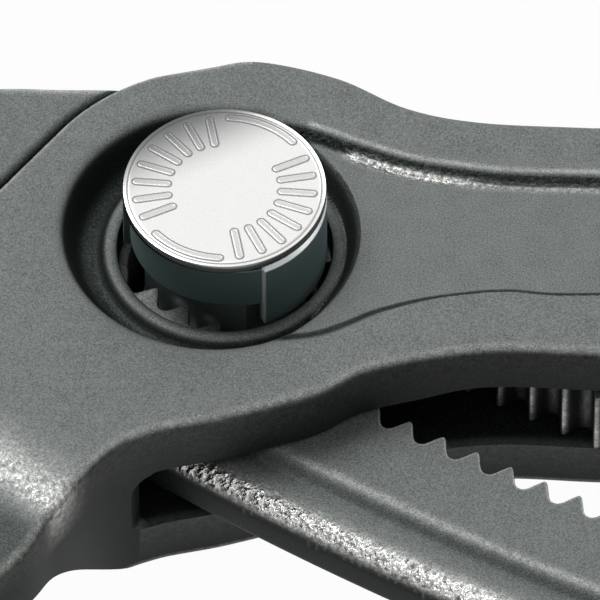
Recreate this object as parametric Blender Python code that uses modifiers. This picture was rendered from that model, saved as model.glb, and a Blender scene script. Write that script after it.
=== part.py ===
"""Tongue and groove pliers, lying on their back with the jaws closed.

The pivot axis is Z through the origin, the outer leg's handle runs along +X and the
button faces +Z. The inner leg slides along an arc shaped slot, so its web, its slot and
the bolt's teeth are all drawn round the centre of that arc.
"""

import math

import bmesh
import bpy
from mathutils import Matrix, Vector

COLLECTION = "tongue_and_groove_pliers"

# Running and seating clearances.
SEAT_GAP = 0.0003
CUT_OVERRUN = 0.002

# Stack of the box joint, from the back face up.
BACK_CHEEK = 0.0045
WEB_THICKNESS = 0.0056
FRONT_CHEEK = 0.0049
WINDOW_BOTTOM = BACK_CHEEK
WEB_BOTTOM = WINDOW_BOTTOM + SEAT_GAP
WEB_TOP = WEB_BOTTOM + WEB_THICKNESS
WINDOW_TOP = WEB_TOP + SEAT_GAP
LEG_TOP = WINDOW_TOP + FRONT_CHEEK
MID_PLANE = LEG_TOP / 2

# The toothed slot of the inner leg, with the bolt's teeth as notches of its two rows.
SLOT_ANGLE = math.radians(-36)
SLOT_RADIUS = 0.210
SLOT_HALF_WIDTH = 0.0041
TOOTH_PITCH = 0.00269
TOOTH_DEPTH = 0.0014
TOOTH_LAND = 0.00015
TOOTH_ROOT = 0.00035
LOWER_FIRST_NOTCH = -0.00165
LOWER_BOLT_TEETH = 2
UPPER_FIRST_NOTCH = LOWER_FIRST_NOTCH - TOOTH_PITCH / 2
UPPER_BOLT_TEETH = 3
NOTCHES = 12
ADJUST_TRAVEL = NOTCHES * TOOTH_PITCH

# Bolt, button and spring.
PRESS_TRAVEL = 0.0022
BOLT_RADIUS = 0.0062
JOURNAL_HEIGHT = 0.0010
NECK_CLEARANCE = 0.0005
STEM_RADIUS = 0.0024
STEM_LENGTH = 0.0022
SHAFT_RADIUS = 0.0068
SHAFT_LENGTH = 0.0047
LAND_RADIUS = 0.00735
LAND_WALL = 0.0017
LAND_START = math.radians(-67)
LAND_SWEEP = math.radians(242)
LAND_CHAMFER = 0.0004
BUTTON_RISE = 0.0044
CAP_RADIUS = 0.0073
CAP_THICKNESS = 0.0007
SPIGOT_RADIUS = 0.0025
SPIGOT_LENGTH = 0.0012
POCKET_RADIUS = 0.0029
SPRING_RADIUS = 0.00215
SPRING_WIRE = 0.0003
SPRING_TURNS = 6
SPRING_LENGTH = 0.0071
WASHER_RADIUS = 0.0026
WASHER_THICKNESS = 0.0003
REAR_CAP_RADIUS = 0.0071
REAR_CAP_THICKNESS = 0.0006
GUIDE_POST_RADIUS = 0.0013
GUIDE_POST_HEIGHT = 0.0022

# Recess round the button in the front cheek.
HOLE_CLEARANCE = 0.00035
COLLAR_WALL = 0.00095
COLLAR_DROP = 0.0023
GROOVE_DROP = 0.0032
GROOVE_WIDTH = 0.00255

# Outer leg in plan.
CHEEK_RADIUS = 0.0150
CHEEK_TOP = 0.0157
HANDLE_TOP = 0.0095
HANDLE_BOTTOM = -0.0116
OUTER_HANDLE_END = 0.203
WINDOW_CLEARANCE = 0.0004
WINDOW_FLARE = 0.0026
OPENING = math.radians(15)
PANEL_DEPTH = 0.0006
PANEL_END = 0.075

# Jaws, drawn along the jaw direction and across it.
JAW_ANGLE = math.radians(232)
JAW_LENGTH = 0.0535
JAW_ROOT = 0.0176
JAW_TIP_THICKNESS = 0.0100
JAW_BACK_START = 0.0325
GRIP_LEVEL = 0.0132
HOLLOW_START = 0.0192
HOLLOW_END = 0.0385
HOLLOW_DEPTH = 0.0036
GRIP_PITCH = 0.0021
GRIP_DEPTH = 0.0008
LOWER_JAW_BACK = 0.0063
UPPER_JAW_BACK = 0.0300
UPPER_JAW_INSET = 0.0010

# Inner leg in plan.
WEB_ABOVE = 0.0125
WEB_BELOW = 0.0159
WEB_END = 0.071
BORDER_LINE = 0.0118
BORDER_STEP = 0.0007
BORDER_START = -0.002
BORDER_RUN = 0.016
SWELL_LENGTH = 0.022
INNER_TURN = math.radians(-29)
INNER_HANDLE_END = 0.198
INNER_HANDLE_DROP = 0.0615

# Handles and grips.
HANDLE_HALF_WIDTH = 0.0058
HANDLE_THICKNESS = 0.0070
TAPER_START = 0.036
TAPER_END = 0.080
GRIP_LENGTH = 0.115
GRIP_WALL = 0.0041
GRIP_ROUND = 0.0032
INLAY_DEPTH = 0.0022
INLAY_PROUD = 0.0003
INLAY_HALF_HEIGHT = 0.0040
INLAY_MARGIN = 0.014
INLAY_ROUND = 0.0006
EDGE_ROUND = 0.0011
ARC_STEP = math.radians(7.5)
END_POINTS = 9
TURN_STEPS = 48
POINTS_PER_TURN = 14
TAPER_WIDTH = 0.16
CUTTER_REACH = 0.030
CUTTER_LENGTH = 0.25
TOOTH_RELIEF = 0.0001
WELD = 0.00001
FLAT_ANGLE = math.radians(0.5)
SHARP_ANGLE = math.radians(30)

# Heights of the bolt and button, from the back up.
JOURNAL_TOP = WINDOW_BOTTOM
JOURNAL_BOTTOM = JOURNAL_TOP - JOURNAL_HEIGHT
BOLT_TEETH_TOP = WINDOW_BOTTOM + PRESS_TRAVEL
CAP_TOP = LEG_TOP + BUTTON_RISE
CAP_BOTTOM = CAP_TOP - CAP_THICKNESS
BODY_TOP = CAP_BOTTOM - SEAT_GAP
SHAFT_BOTTOM = BODY_TOP - SHAFT_LENGTH
LAND_BOTTOM = WINDOW_TOP + PRESS_TRAVEL
REAR_CAP_TOP = REAR_CAP_THICKNESS
WASHER_BOTTOM = REAR_CAP_TOP + SEAT_GAP
WASHER_TOP = WASHER_BOTTOM + WASHER_THICKNESS
SPRING_BOTTOM = WASHER_TOP + SEAT_GAP
SPRING_TOP = SPRING_BOTTOM + SPRING_LENGTH
POCKET_TOP = SPRING_TOP + SEAT_GAP
HOLE_RADIUS = LAND_RADIUS + HOLE_CLEARANCE
COLLAR_RADIUS = HOLE_RADIUS + COLLAR_WALL
RECESS_RADIUS = COLLAR_RADIUS + GROOVE_WIDTH
GRIP_HALF_WIDTH = HANDLE_HALF_WIDTH + SEAT_GAP + GRIP_WALL

ORIGIN = Vector((0.0, 0.0))
ALONG_SLOT = Vector((math.cos(SLOT_ANGLE), math.sin(SLOT_ANGLE)))
ACROSS_SLOT = Vector((-ALONG_SLOT.y, ALONG_SLOT.x))
SLOT_CENTRE = ACROSS_SLOT * SLOT_RADIUS
ALONG_JAW = Vector((math.cos(JAW_ANGLE), math.sin(JAW_ANGLE)))
ACROSS_JAW = Vector((ALONG_JAW.y, -ALONG_JAW.x))


# ---------------------------------------------------------------- points in plan


def slot_point(along, above):
    """A point at a distance along the slot's arc from the pivot and above its centre line."""
    angle = math.atan2(-ACROSS_SLOT.y, -ACROSS_SLOT.x) + along / SLOT_RADIUS
    return SLOT_CENTRE + (SLOT_RADIUS - above) * Vector((math.cos(angle), math.sin(angle)))


def jaw_point(along, across):
    return along * ALONG_JAW + across * ACROSS_JAW


def spread(first, last, count):
    """Evenly spaced values from first to last."""
    return [first + (last - first) * i / (count - 1) for i in range(count)]


def arc(centre, radius, first, last):
    """Points on a circle from one angle to another, ends included."""
    count = max(2, math.ceil(abs(last - first) / ARC_STEP) + 1)
    return [
        centre + radius * Vector((math.cos(angle), math.sin(angle)))
        for angle in spread(first, last, count)
    ]


def smooth(points, steps=5):
    """Points on one smooth curve through the given points."""
    ends = [2 * points[0] - points[1], *points, 2 * points[-1] - points[-2]]
    result = [points[0].copy()]
    for before, start, end, after in zip(ends, ends[1:], ends[2:], ends[3:]):
        for i in range(1, steps + 1):
            t = i / steps
            result.append(
                0.5
                * (
                    2 * start
                    + (end - before) * t
                    + (2 * before - 5 * start + 4 * end - after) * t**2
                    + (3 * start - before - 3 * end + after) * t**3
                )
            )
    return result


def strip_edge(spine, half_widths, side):
    """One edge of a strip that runs along a spine; side is 1 for its left edge and -1 for its right."""
    edge = []
    for i, (point, half_width) in enumerate(zip(spine, half_widths)):
        before = spine[max(i - 1, 0)]
        after = spine[min(i + 1, len(spine) - 1)]
        direction = (after - before).normalized()
        edge.append(point + side * half_width * Vector((-direction.y, direction.x)))
    return edge


def notch(middle, side, inset=0.0):
    """One notch of a tooth row, or with an inset the bolt's tooth that enters it."""
    slope = (TOOTH_PITCH / 2 - TOOTH_LAND - TOOTH_ROOT) / TOOTH_DEPTH
    shift = inset * (math.hypot(1, slope) - slope)
    root_half = TOOTH_ROOT - shift
    mouth_half = TOOTH_ROOT + slope * TOOTH_DEPTH - shift
    mouth = side * (SLOT_HALF_WIDTH - inset)
    root = side * (SLOT_HALF_WIDTH + TOOTH_DEPTH - inset)
    corners = [(-mouth_half, mouth), (-root_half, root), (root_half, root), (mouth_half, mouth)]
    return [slot_point(middle + step, above) for step, above in corners]


def tooth_row(first, count, side, inset=0.0):
    """Notches one pitch apart, in order along the slot."""
    row = []
    for i in range(count):
        row += notch(first + i * TOOTH_PITCH, side, inset)
    return row


def slot_end(along, radius, half_width, way):
    """The round end of the slot, or of the bolt's teeth; way is -1 for the jaw end."""
    reach = math.asin(half_width / radius)
    return [
        slot_point(along + way * radius * math.cos(angle), way * radius * math.sin(angle))
        for angle in spread(-reach, reach, END_POINTS)
    ]


def toothed_outline(notches, radius, inset):
    """The slot's outline over this many extra notches, or the bolt's own with none and an inset."""
    half_width = SLOT_HALF_WIDTH - inset
    far = notches * TOOTH_PITCH
    lower = tooth_row(LOWER_FIRST_NOTCH, LOWER_BOLT_TEETH + notches, -1, inset)
    upper = tooth_row(UPPER_FIRST_NOTCH, UPPER_BOLT_TEETH + notches, 1, inset)
    jaw_end = slot_end(0.0, radius, half_width, -1)
    handle_end = slot_end(far, radius, half_width, 1)
    return jaw_end + lower + handle_end + upper[::-1]


# ---------------------------------------------------------------- modelling tools


def new_collection(name):
    collection = bpy.data.collections.new(name)
    bpy.context.scene.collection.children.link(collection)
    return collection


def clear_scene():
    for shape in list(bpy.data.objects):
        bpy.data.objects.remove(shape, do_unlink=True)


def as_mesh(shape):
    """Replaces a curve object with a closed mesh object of the same name, place and collection."""
    bpy.context.view_layer.update()
    graph = bpy.context.evaluated_depsgraph_get()
    name = shape.name
    mesh = bpy.data.meshes.new_from_object(shape.evaluated_get(graph))
    work = bmesh.new()
    work.from_mesh(mesh)
    bmesh.ops.remove_doubles(work, verts=work.verts, dist=WELD)
    bmesh.ops.dissolve_limit(work, angle_limit=FLAT_ANGLE, verts=work.verts, edges=work.edges)
    bmesh.ops.recalc_face_normals(work, faces=work.faces)
    work.to_mesh(mesh)
    work.free()
    solid = bpy.data.objects.new(name, mesh)
    solid.matrix_world = shape.matrix_world
    shape.users_collection[0].objects.link(solid)
    bpy.data.objects.remove(shape, do_unlink=True)
    solid.name = name
    return solid


def flat_curve(name, outline, thickness, collection):
    """A filled outline, extruded by half its thickness each way."""
    curve = bpy.data.curves.new(name, "CURVE")
    curve.dimensions = "2D"
    curve.fill_mode = "BOTH"
    curve.extrude = thickness / 2
    spline = curve.splines.new("POLY")
    spline.points.add(len(outline) - 1)
    for point, place in zip(spline.points, outline):
        point.co = (place.x, place.y, 0.0, 1.0)
    spline.use_cyclic_u = True
    shape = bpy.data.objects.new(name, curve)
    collection.objects.link(shape)
    return shape


def prism(name, outline, bottom, top, collection):
    """An outline in plan, extruded between two heights."""
    shape = flat_curve(name, outline, top - bottom, collection)
    shape.location.z = (bottom + top) / 2
    return as_mesh(shape)


def side_prism(name, outline, turn, width, collection):
    """An outline of (distance along, height), extruded across a direction in plan."""
    shape = flat_curve(name, outline, width, collection)
    shape.rotation_euler = (math.pi / 2, 0.0, turn)
    return as_mesh(shape)


def turned(name, profile, collection, closed=False):
    """A profile of (radius, height) turned about Z; it runs down its outer side."""
    count = len(profile)
    edges = [(i, i + 1) for i in range(count - 1)]
    if closed:
        edges.append((count - 1, 0))
    mesh = bpy.data.meshes.new(name)
    mesh.from_pydata([(radius, 0.0, height) for radius, height in profile], edges, [])
    shape = bpy.data.objects.new(name, mesh)
    collection.objects.link(shape)
    screw = shape.modifiers.new("turn", "SCREW")
    screw.axis = "Z"
    screw.angle = 2 * math.pi
    screw.steps = screw.render_steps = TURN_STEPS
    screw.use_merge_vertices = True
    screw.merge_threshold = WELD
    screw.use_smooth_shade = True
    return shape


def bake(shape):
    """Applies a mesh object's modifiers and joins the flat faces that a cut has split."""
    bpy.context.view_layer.update()
    graph = bpy.context.evaluated_depsgraph_get()
    mesh = bpy.data.meshes.new_from_object(shape.evaluated_get(graph))
    shape.modifiers.clear()
    shape.data = mesh
    work = bmesh.new()
    work.from_mesh(mesh)
    bmesh.ops.remove_doubles(work, verts=work.verts, dist=WELD)
    bmesh.ops.dissolve_limit(work, angle_limit=FLAT_ANGLE, verts=work.verts, edges=work.edges)
    work.to_mesh(mesh)
    work.free()


def is_rim(edge):
    """Whether an edge is the sharp outer rim between a level face and a wall."""
    if len(edge.link_faces) != 2 or not edge.is_convex:
        return False
    slopes = sorted(abs(face.normal.z) for face in edge.link_faces)
    return slopes[0] < 0.3 and slopes[1] > 0.9


def round_rims(shape, radius, segments=2):
    """Rounds the rims of a shape, after applying what has cut it so far."""
    bake(shape)
    work = bmesh.new()
    work.from_mesh(shape.data)
    rims = [edge for edge in work.edges if is_rim(edge)]
    bmesh.ops.bevel(
        work,
        geom=rims,
        offset=radius,
        offset_type="OFFSET",
        segments=segments,
        profile=0.5,
        affect="EDGES",
        clamp_overlap=False,
    )
    work.to_mesh(shape.data)
    work.free()


def combine(shape, other, operation):
    """Joins or cuts one object with another, which becomes a hidden helper."""
    boolean = shape.modifiers.new(other.name, "BOOLEAN")
    boolean.operation = operation
    boolean.solver = "EXACT"
    boolean.object = other
    other.hide_render = True
    other.display_type = "WIRE"


def cut(shape, *cutters):
    for cutter in cutters:
        combine(shape, cutter, "DIFFERENCE")


def paint(shape, name, colour, roughness, metallic):
    material = bpy.data.materials.new(name)
    material.use_nodes = True
    surface = material.node_tree.nodes["Principled BSDF"]
    surface.inputs["Base Color"].default_value = (*colour, 1.0)
    surface.inputs["Roughness"].default_value = roughness
    surface.inputs["Metallic"].default_value = metallic
    material.diffuse_color = (*colour, 1.0)
    shape.data.materials.clear()
    shape.data.materials.append(material)


# ---------------------------------------------------------------- plan outlines


def hollow(along):
    """How far the pipe hollow lies behind the straight grip line."""
    half_chord = (HOLLOW_END - HOLLOW_START) / 2
    offset = along - (HOLLOW_START + HOLLOW_END) / 2
    if abs(offset) >= half_chord:
        return 0.0
    radius = (half_chord**2 + HOLLOW_DEPTH**2) / (2 * HOLLOW_DEPTH)
    return math.sqrt(radius**2 - offset**2) - (radius - HOLLOW_DEPTH)


def grip_line(level, way, first, last):
    """The smooth grip line of a jaw; way is 1 where the jaw's metal lies above it."""
    count = math.ceil(abs(last - first) / GRIP_PITCH) + 1
    return [jaw_point(along, level + way * hollow(along)) for along in spread(first, last, count)]


def grip_teeth(name, level, way, collection):
    """A comb shaped cutter for the teeth of a jaw; way is 1 where the metal lies above the line."""
    count = int((JAW_LENGTH - HOLLOW_START) / GRIP_PITCH)
    teeth = []
    for i in range(count):
        start = HOLLOW_START + i * GRIP_PITCH
        valley = start + GRIP_PITCH / 2
        teeth.append(jaw_point(start, level + way * hollow(start)))
        teeth.append(jaw_point(valley, level + way * (hollow(valley) + GRIP_DEPTH)))
    end = HOLLOW_START + count * GRIP_PITCH
    teeth.append(jaw_point(end, level + way * hollow(end)))
    back = level - way * GRIP_LEVEL / 2
    teeth += [jaw_point(end, back), jaw_point(HOLLOW_START, back)]
    return prism(name, teeth, -CUT_OVERRUN, LEG_TOP + CUT_OVERRUN, collection)


def outer_spine():
    """The middle line of the outer leg's handle."""
    middle = (HANDLE_TOP + HANDLE_BOTTOM) / 2
    end = OUTER_HANDLE_END
    bends = [(0.0268, middle), (0.060, -0.0003), (0.100, 0.0006), (0.150, -0.0016), (end, -0.009)]
    return smooth([Vector(bend) for bend in bends])


def inner_spine():
    """The middle line of the inner leg's handle, from the end of the slot on."""
    start = slot_point(ADJUST_TRAVEL + 0.010, (WEB_ABOVE - WEB_BELOW) / 2)
    drop = INNER_HANDLE_DROP
    end = INNER_HANDLE_END
    bends = [(0.060, 0.0281 - drop), (0.085, 0.019 - drop), (0.120, 0.0095 - drop)]
    bends += [(0.160, 0.0025 - drop), (end, -drop)]
    return smooth([start, *(Vector(bend) for bend in bends)])


def tapered(spine, start_half_width):
    """Half widths along a handle that narrows from its root to a steady width."""
    first = spine[0].x
    widths = []
    for point in spine:
        share = min(1.0, (point.x - first) / (TAPER_END - first))
        eased = share * share * (3 - 2 * share)
        widths.append(start_half_width + (HANDLE_HALF_WIDTH - start_half_width) * eased)
    return widths


def round_tip(spine, half_width):
    """The round end of a strip, from its left edge to its right."""
    heading = spine[-1] - spine[-2]
    angle = math.atan2(heading.y, heading.x)
    return arc(spine[-1], half_width, angle + math.pi / 2, angle - math.pi / 2)[1:-1]


def outer_outline():
    """The outer leg in plan, clockwise from the cheek edge over the pivot."""
    spine = outer_spine()
    widths = tapered(spine, (HANDLE_TOP - HANDLE_BOTTOM) / 2)
    top_edge = strip_edge(spine, widths, 1)
    bottom_edge = strip_edge(spine, widths, -1)[::-1]
    cheek = arc(ORIGIN, CHEEK_RADIUS, JAW_ANGLE - math.pi / 2, math.radians(99))
    crown = [
        Vector((0.0025, CHEEK_TOP)),
        Vector((0.0082, CHEEK_TOP - 0.0016)),
        Vector((0.0132, HANDLE_TOP + 0.0018)),
        Vector((0.0185, HANDLE_TOP + 0.0005)),
    ]
    belly = [
        Vector((0.0186, HANDLE_BOTTOM + 0.0003)),
        Vector((0.0106, HANDLE_BOTTOM - 0.0013)),
        Vector((0.0065, HANDLE_BOTTOM - 0.0036)),
        Vector((0.0002, HANDLE_BOTTOM - 0.0057)),
        Vector((-0.0050, HANDLE_BOTTOM - 0.0070)),
        Vector((-0.0083, HANDLE_BOTTOM - 0.0089)),
        Vector((-0.0118, HANDLE_BOTTOM - 0.0137)),
        jaw_point(JAW_BACK_START, -LOWER_JAW_BACK),
    ]
    jaw_back = [
        jaw_point(JAW_LENGTH - 0.0110, -LOWER_JAW_BACK + 0.0032),
        jaw_point(JAW_LENGTH - 0.0040, -LOWER_JAW_BACK + 0.0092),
        jaw_point(JAW_LENGTH, GRIP_LEVEL - 0.0045),
        jaw_point(JAW_LENGTH, GRIP_LEVEL - 0.0010),
        jaw_point(JAW_LENGTH - 0.0008, GRIP_LEVEL),
    ]
    grip = grip_line(GRIP_LEVEL, -1, JAW_LENGTH - 0.0020, HOLLOW_START)
    upper = smooth([cheek[-1], *crown, top_edge[0]], 3)[1:-1]
    lower = smooth([bottom_edge[-1], *belly, *jaw_back[:3]], 3)[1:]
    tip = round_tip(spine, HANDLE_HALF_WIDTH)
    root = [jaw_point(JAW_ROOT, CHEEK_RADIUS)]
    return cheek + upper + top_edge + tip + bottom_edge + lower + jaw_back[3:] + grip + root


def inner_outline():
    """The inner leg in plan, from the handle's upper edge back over the pivot and round."""
    spine = inner_spine()
    widths = tapered(spine, (WEB_ABOVE + WEB_BELOW) / 2)
    top_edge = strip_edge(spine, widths, 1)[::-1]
    bottom_edge = strip_edge(spine, widths, -1)
    web_top = [slot_point(s, WEB_ABOVE) for s in spread(ADJUST_TRAVEL, 0.0, 6)]
    neck = arc(ORIGIN, WEB_ABOVE, SLOT_ANGLE + math.pi / 2, math.radians(96))[1:]
    level = GRIP_LEVEL + SEAT_GAP
    shoulder = [Vector((-0.0046, 0.0131)), Vector((-0.0075, 0.0138)), Vector((-0.0120, 0.0139))]
    back = [
        jaw_point(-0.0012, UPPER_JAW_BACK - 0.0088),
        jaw_point(0.0030, UPPER_JAW_BACK - 0.0040),
        jaw_point(0.0095, UPPER_JAW_BACK - 0.0006),
        jaw_point(0.0190, UPPER_JAW_BACK),
        jaw_point(0.0310, UPPER_JAW_BACK - 0.0026),
        jaw_point(0.0420, UPPER_JAW_BACK - 0.0075),
        jaw_point(JAW_LENGTH - 0.0035, level + 0.0048),
        jaw_point(JAW_LENGTH + 0.0003, level + 0.0013),
        jaw_point(JAW_LENGTH - 0.0005, level),
    ]
    jaw = smooth([neck[-1], *shoulder, *back[:-1]], 3)[1:]
    grip = grip_line(level, 1, JAW_LENGTH - 0.0020, HOLLOW_START + 0.0002)
    foot = [jaw_point(JAW_ROOT + 0.0004, CHEEK_RADIUS + WINDOW_CLEARANCE)]
    web_side = [slot_point(s, -WEB_BELOW) for s in spread(-0.0145, ADJUST_TRAVEL, 9)]
    tip = round_tip(spine, HANDLE_HALF_WIDTH)[::-1]
    return (
        web_top + neck + jaw + [back[-1]] + grip + foot + web_side + bottom_edge + tip + top_edge
    )


# ---------------------------------------------------------------- outer leg


def taper_profile(start, end, level, drop, far, way):
    """A side outline of what a taper takes away; way is 1 for the front and -1 for the back."""
    run = (end - start) * CUT_OVERRUN / drop
    outside = level + way * CUT_OVERRUN
    return [
        Vector((start - run, outside)),
        Vector((end, level - way * drop)),
        Vector((far, level - way * drop)),
        Vector((far, outside)),
    ]


def taper_both(shape, name, start, end, levels, drops, far, turn, cutters):
    """Thins a leg from both faces along a direction in plan."""
    for way, level, drop in zip((-1, 1), levels, drops):
        side = "front" if way > 0 else "back"
        profile = taper_profile(start, end, level, drop, far, way)
        cut(shape, side_prism(f"{name}_{side}", profile, turn, TAPER_WIDTH, cutters))


def window_outline():
    """The channel through the box joint, clear of the web closed, open and at every notch."""
    reach = ADJUST_TRAVEL + 0.020
    jaw_side = -(WEB_BELOW + WINDOW_CLEARANCE)
    handle_side = WEB_ABOVE + WINDOW_CLEARANCE
    corner = jaw_point(WEB_BELOW + WINDOW_CLEARANCE + WINDOW_FLARE, -LOWER_JAW_BACK)
    foot = corner + CUTTER_REACH * Vector((0.0, -1.0))
    crossing = handle_side * math.tan(OPENING / 2)
    opened = Matrix.Rotation(-OPENING, 2)
    left = [slot_point(s, jaw_side) for s in spread(-0.040, -0.002, 5)]
    below = [corner, foot, slot_point(reach, -2 * CUTTER_REACH)]
    right = [slot_point(s, handle_side) for s in spread(reach, crossing, 9)]
    crown = [opened @ slot_point(s, handle_side) for s in spread(-crossing, -0.025, 4)]
    return left + below + right + crown + [Vector((-0.050, 0.040))]


def button_recess(cutters):
    """The bolt's hole in the front cheek, with the collar, the groove and the rounded rim."""
    face = LEG_TOP
    top = LEG_TOP + CUT_OVERRUN
    groove_in = COLLAR_RADIUS + 0.0005
    groove_out = RECESS_RADIUS - 0.0009
    profile = [
        (0.0, top),
        (RECESS_RADIUS + 0.0005, top),
        (RECESS_RADIUS + 0.0005, face),
        (RECESS_RADIUS, face - 0.0006),
        (groove_out, face - GROOVE_DROP + 0.0006),
        (groove_out - 0.0006, face - GROOVE_DROP),
        (groove_in, face - GROOVE_DROP),
        (COLLAR_RADIUS, face - COLLAR_DROP - 0.0003),
        (COLLAR_RADIUS - 0.0003, face - COLLAR_DROP),
        (HOLE_RADIUS + 0.0002, face - COLLAR_DROP),
        (HOLE_RADIUS, face - COLLAR_DROP - 0.0002),
        (HOLE_RADIUS, WINDOW_TOP - CUT_OVERRUN),
        (0.0, WINDOW_TOP - CUT_OVERRUN),
    ]
    return turned("button_recess", profile, cutters)


def back_bore(cutters):
    """The journal's bore in the back cheek, with the seat of the rear cap."""
    seat = REAR_CAP_RADIUS + SEAT_GAP
    seat_top = REAR_CAP_TOP + SEAT_GAP
    bore = BOLT_RADIUS + SEAT_GAP
    profile = [
        (0.0, WINDOW_BOTTOM + CUT_OVERRUN),
        (bore, WINDOW_BOTTOM + CUT_OVERRUN),
        (bore, seat_top),
        (seat, seat_top),
        (seat, -CUT_OVERRUN),
        (0.0, -CUT_OVERRUN),
    ]
    return turned("back_bore", profile, cutters)


def handle_panel(cutters):
    """The shallow panel pressed into the front of the handle, from the button recess on."""
    upper = [(0.0060, 0.0092), (0.0095, 0.0077), (0.0134, 0.0062), (0.0200, 0.0050)]
    upper += [(0.0268, 0.0047), (PANEL_END - 0.012, 0.0046), (PANEL_END - 0.002, 0.0030)]
    lower = [(PANEL_END - 0.002, -0.0020), (PANEL_END - 0.012, -0.0050), (0.0268, -0.0059)]
    lower += [(0.0200, -0.0057), (0.0140, -0.0064), (0.0095, -0.0077), (0.0050, -0.0094)]
    outline = smooth([Vector(p) for p in upper], 3) + smooth([Vector(p) for p in lower], 3)
    panel = prism("handle_panel", outline, MID_PLANE, LEG_TOP + CUT_OVERRUN, cutters)
    drop = LEG_TOP - MID_PLANE - HANDLE_THICKNESS / 2
    floor = LEG_TOP - PANEL_DEPTH
    profile = [
        Vector((0.0, floor)),
        Vector((TAPER_START, floor)),
        Vector((TAPER_END, floor - drop)),
        Vector((TAPER_END, LEG_TOP + 2 * CUT_OVERRUN)),
        Vector((0.0, LEG_TOP + 2 * CUT_OVERRUN)),
    ]
    combine(panel, side_prism("panel_floor", profile, 0.0, TAPER_WIDTH, cutters), "INTERSECT")
    return panel


def outer_leg(parts, cutters):
    """The forged leg with the box joint, the lower jaw and the upper handle."""
    leg = prism("outer_leg", outer_outline(), 0.0, LEG_TOP, parts)
    drop = (LEG_TOP - HANDLE_THICKNESS) / 2
    levels = (0.0, LEG_TOP)
    taper_both(
        leg,
        "outer_handle",
        TAPER_START,
        TAPER_END,
        levels,
        (drop, drop),
        CUTTER_LENGTH,
        0.0,
        cutters,
    )
    tip_drop = (LEG_TOP - JAW_TIP_THICKNESS) / 2
    taper_both(
        leg,
        "lower_jaw",
        JAW_ROOT + 0.008,
        JAW_LENGTH,
        levels,
        (tip_drop, tip_drop),
        JAW_LENGTH + 0.010,
        JAW_ANGLE,
        cutters,
    )
    round_rims(leg, EDGE_ROUND)
    window = prism("window", window_outline(), WINDOW_BOTTOM, WINDOW_TOP, cutters)
    teeth = grip_teeth("lower_grip_teeth", GRIP_LEVEL, -1, cutters)
    cut(leg, window, back_bore(cutters), button_recess(cutters), handle_panel(cutters), teeth)
    paint(leg, "forged steel, outer leg", (0.30, 0.32, 0.31), 0.55, 0.8)
    return leg


# ---------------------------------------------------------------- inner leg


def web_outline():
    """The part of the inner leg that is thinned to pass through the window."""
    edge = CHEEK_RADIUS + WINDOW_CLEARANCE
    turn = Vector((math.cos(INNER_TURN), math.sin(INNER_TURN)))
    across = Vector((-turn.y, turn.x))
    jaw_side = [jaw_point(JAW_ROOT + 0.0004, -0.050), jaw_point(JAW_ROOT + 0.0004, edge)]
    cheek = arc(ORIGIN, edge, JAW_ANGLE - math.pi / 2, math.radians(60))
    far = [WEB_END * turn + 0.050 * across, WEB_END * turn - 0.050 * across]
    return jaw_side + cheek + far


def lower_border():
    """The outline of the thinner border below the slot."""
    end = ADJUST_TRAVEL + BORDER_RUN
    line = [slot_point(s, -BORDER_LINE) for s in spread(BORDER_START, end, 9)]
    outside = [slot_point(end, -CUTTER_REACH), slot_point(BORDER_START, -CUTTER_REACH)]
    return line + outside


def inner_leg(parts, cutters):
    """The forged leg with the toothed slot, the upper jaw and the lower handle."""
    bottom = UPPER_JAW_INSET
    top = LEG_TOP - UPPER_JAW_INSET
    leg = prism("inner_leg", inner_outline(), bottom, top, parts)
    above = top + CUT_OVERRUN
    below = bottom - CUT_OVERRUN
    cut(
        leg,
        prism("web_front", web_outline(), WEB_TOP, above, cutters),
        prism("web_back", web_outline(), below, WEB_BOTTOM, cutters),
        prism("border_front", lower_border(), WEB_TOP - BORDER_STEP, above, cutters),
        prism("border_back", lower_border(), below, WEB_BOTTOM + BORDER_STEP, cutters),
    )
    swell = (HANDLE_THICKNESS - WEB_THICKNESS) / 2
    middle = (WEB_TOP + WEB_BOTTOM) / 2
    for way, outside in ((1, above), (-1, below)):
        web_face = middle + way * (WEB_THICKNESS / 2 + 0.00005)
        profile = [
            Vector((WEB_END - 0.001, web_face)),
            Vector((WEB_END, web_face)),
            Vector((WEB_END + SWELL_LENGTH, web_face + way * swell)),
            Vector((CUTTER_LENGTH, web_face + way * swell)),
            Vector((CUTTER_LENGTH, outside + way * CUT_OVERRUN)),
            Vector((WEB_END - 0.001, outside + way * CUT_OVERRUN)),
        ]
        side = "front" if way > 0 else "back"
        name = f"inner_handle_{side}"
        cut(leg, side_prism(name, profile, INNER_TURN, TAPER_WIDTH, cutters))
    tip_drop = (top - bottom - JAW_TIP_THICKNESS) / 2
    taper_both(
        leg,
        "upper_jaw",
        JAW_ROOT + 0.008,
        JAW_LENGTH,
        (bottom, top),
        (tip_drop, tip_drop),
        JAW_LENGTH + 0.010,
        JAW_ANGLE,
        cutters,
    )
    round_rims(leg, EDGE_ROUND)
    slot_outline = toothed_outline(NOTCHES, BOLT_RADIUS + SEAT_GAP, 0.0)
    slot = prism("toothed_slot", slot_outline, below, above, cutters)
    level = GRIP_LEVEL + SEAT_GAP
    cut(leg, slot, grip_teeth("upper_grip_teeth", level, 1, cutters))
    paint(leg, "forged steel, inner leg", (0.30, 0.32, 0.31), 0.55, 0.8)
    return leg


# ---------------------------------------------------------------- bolt, button and spring


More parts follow.
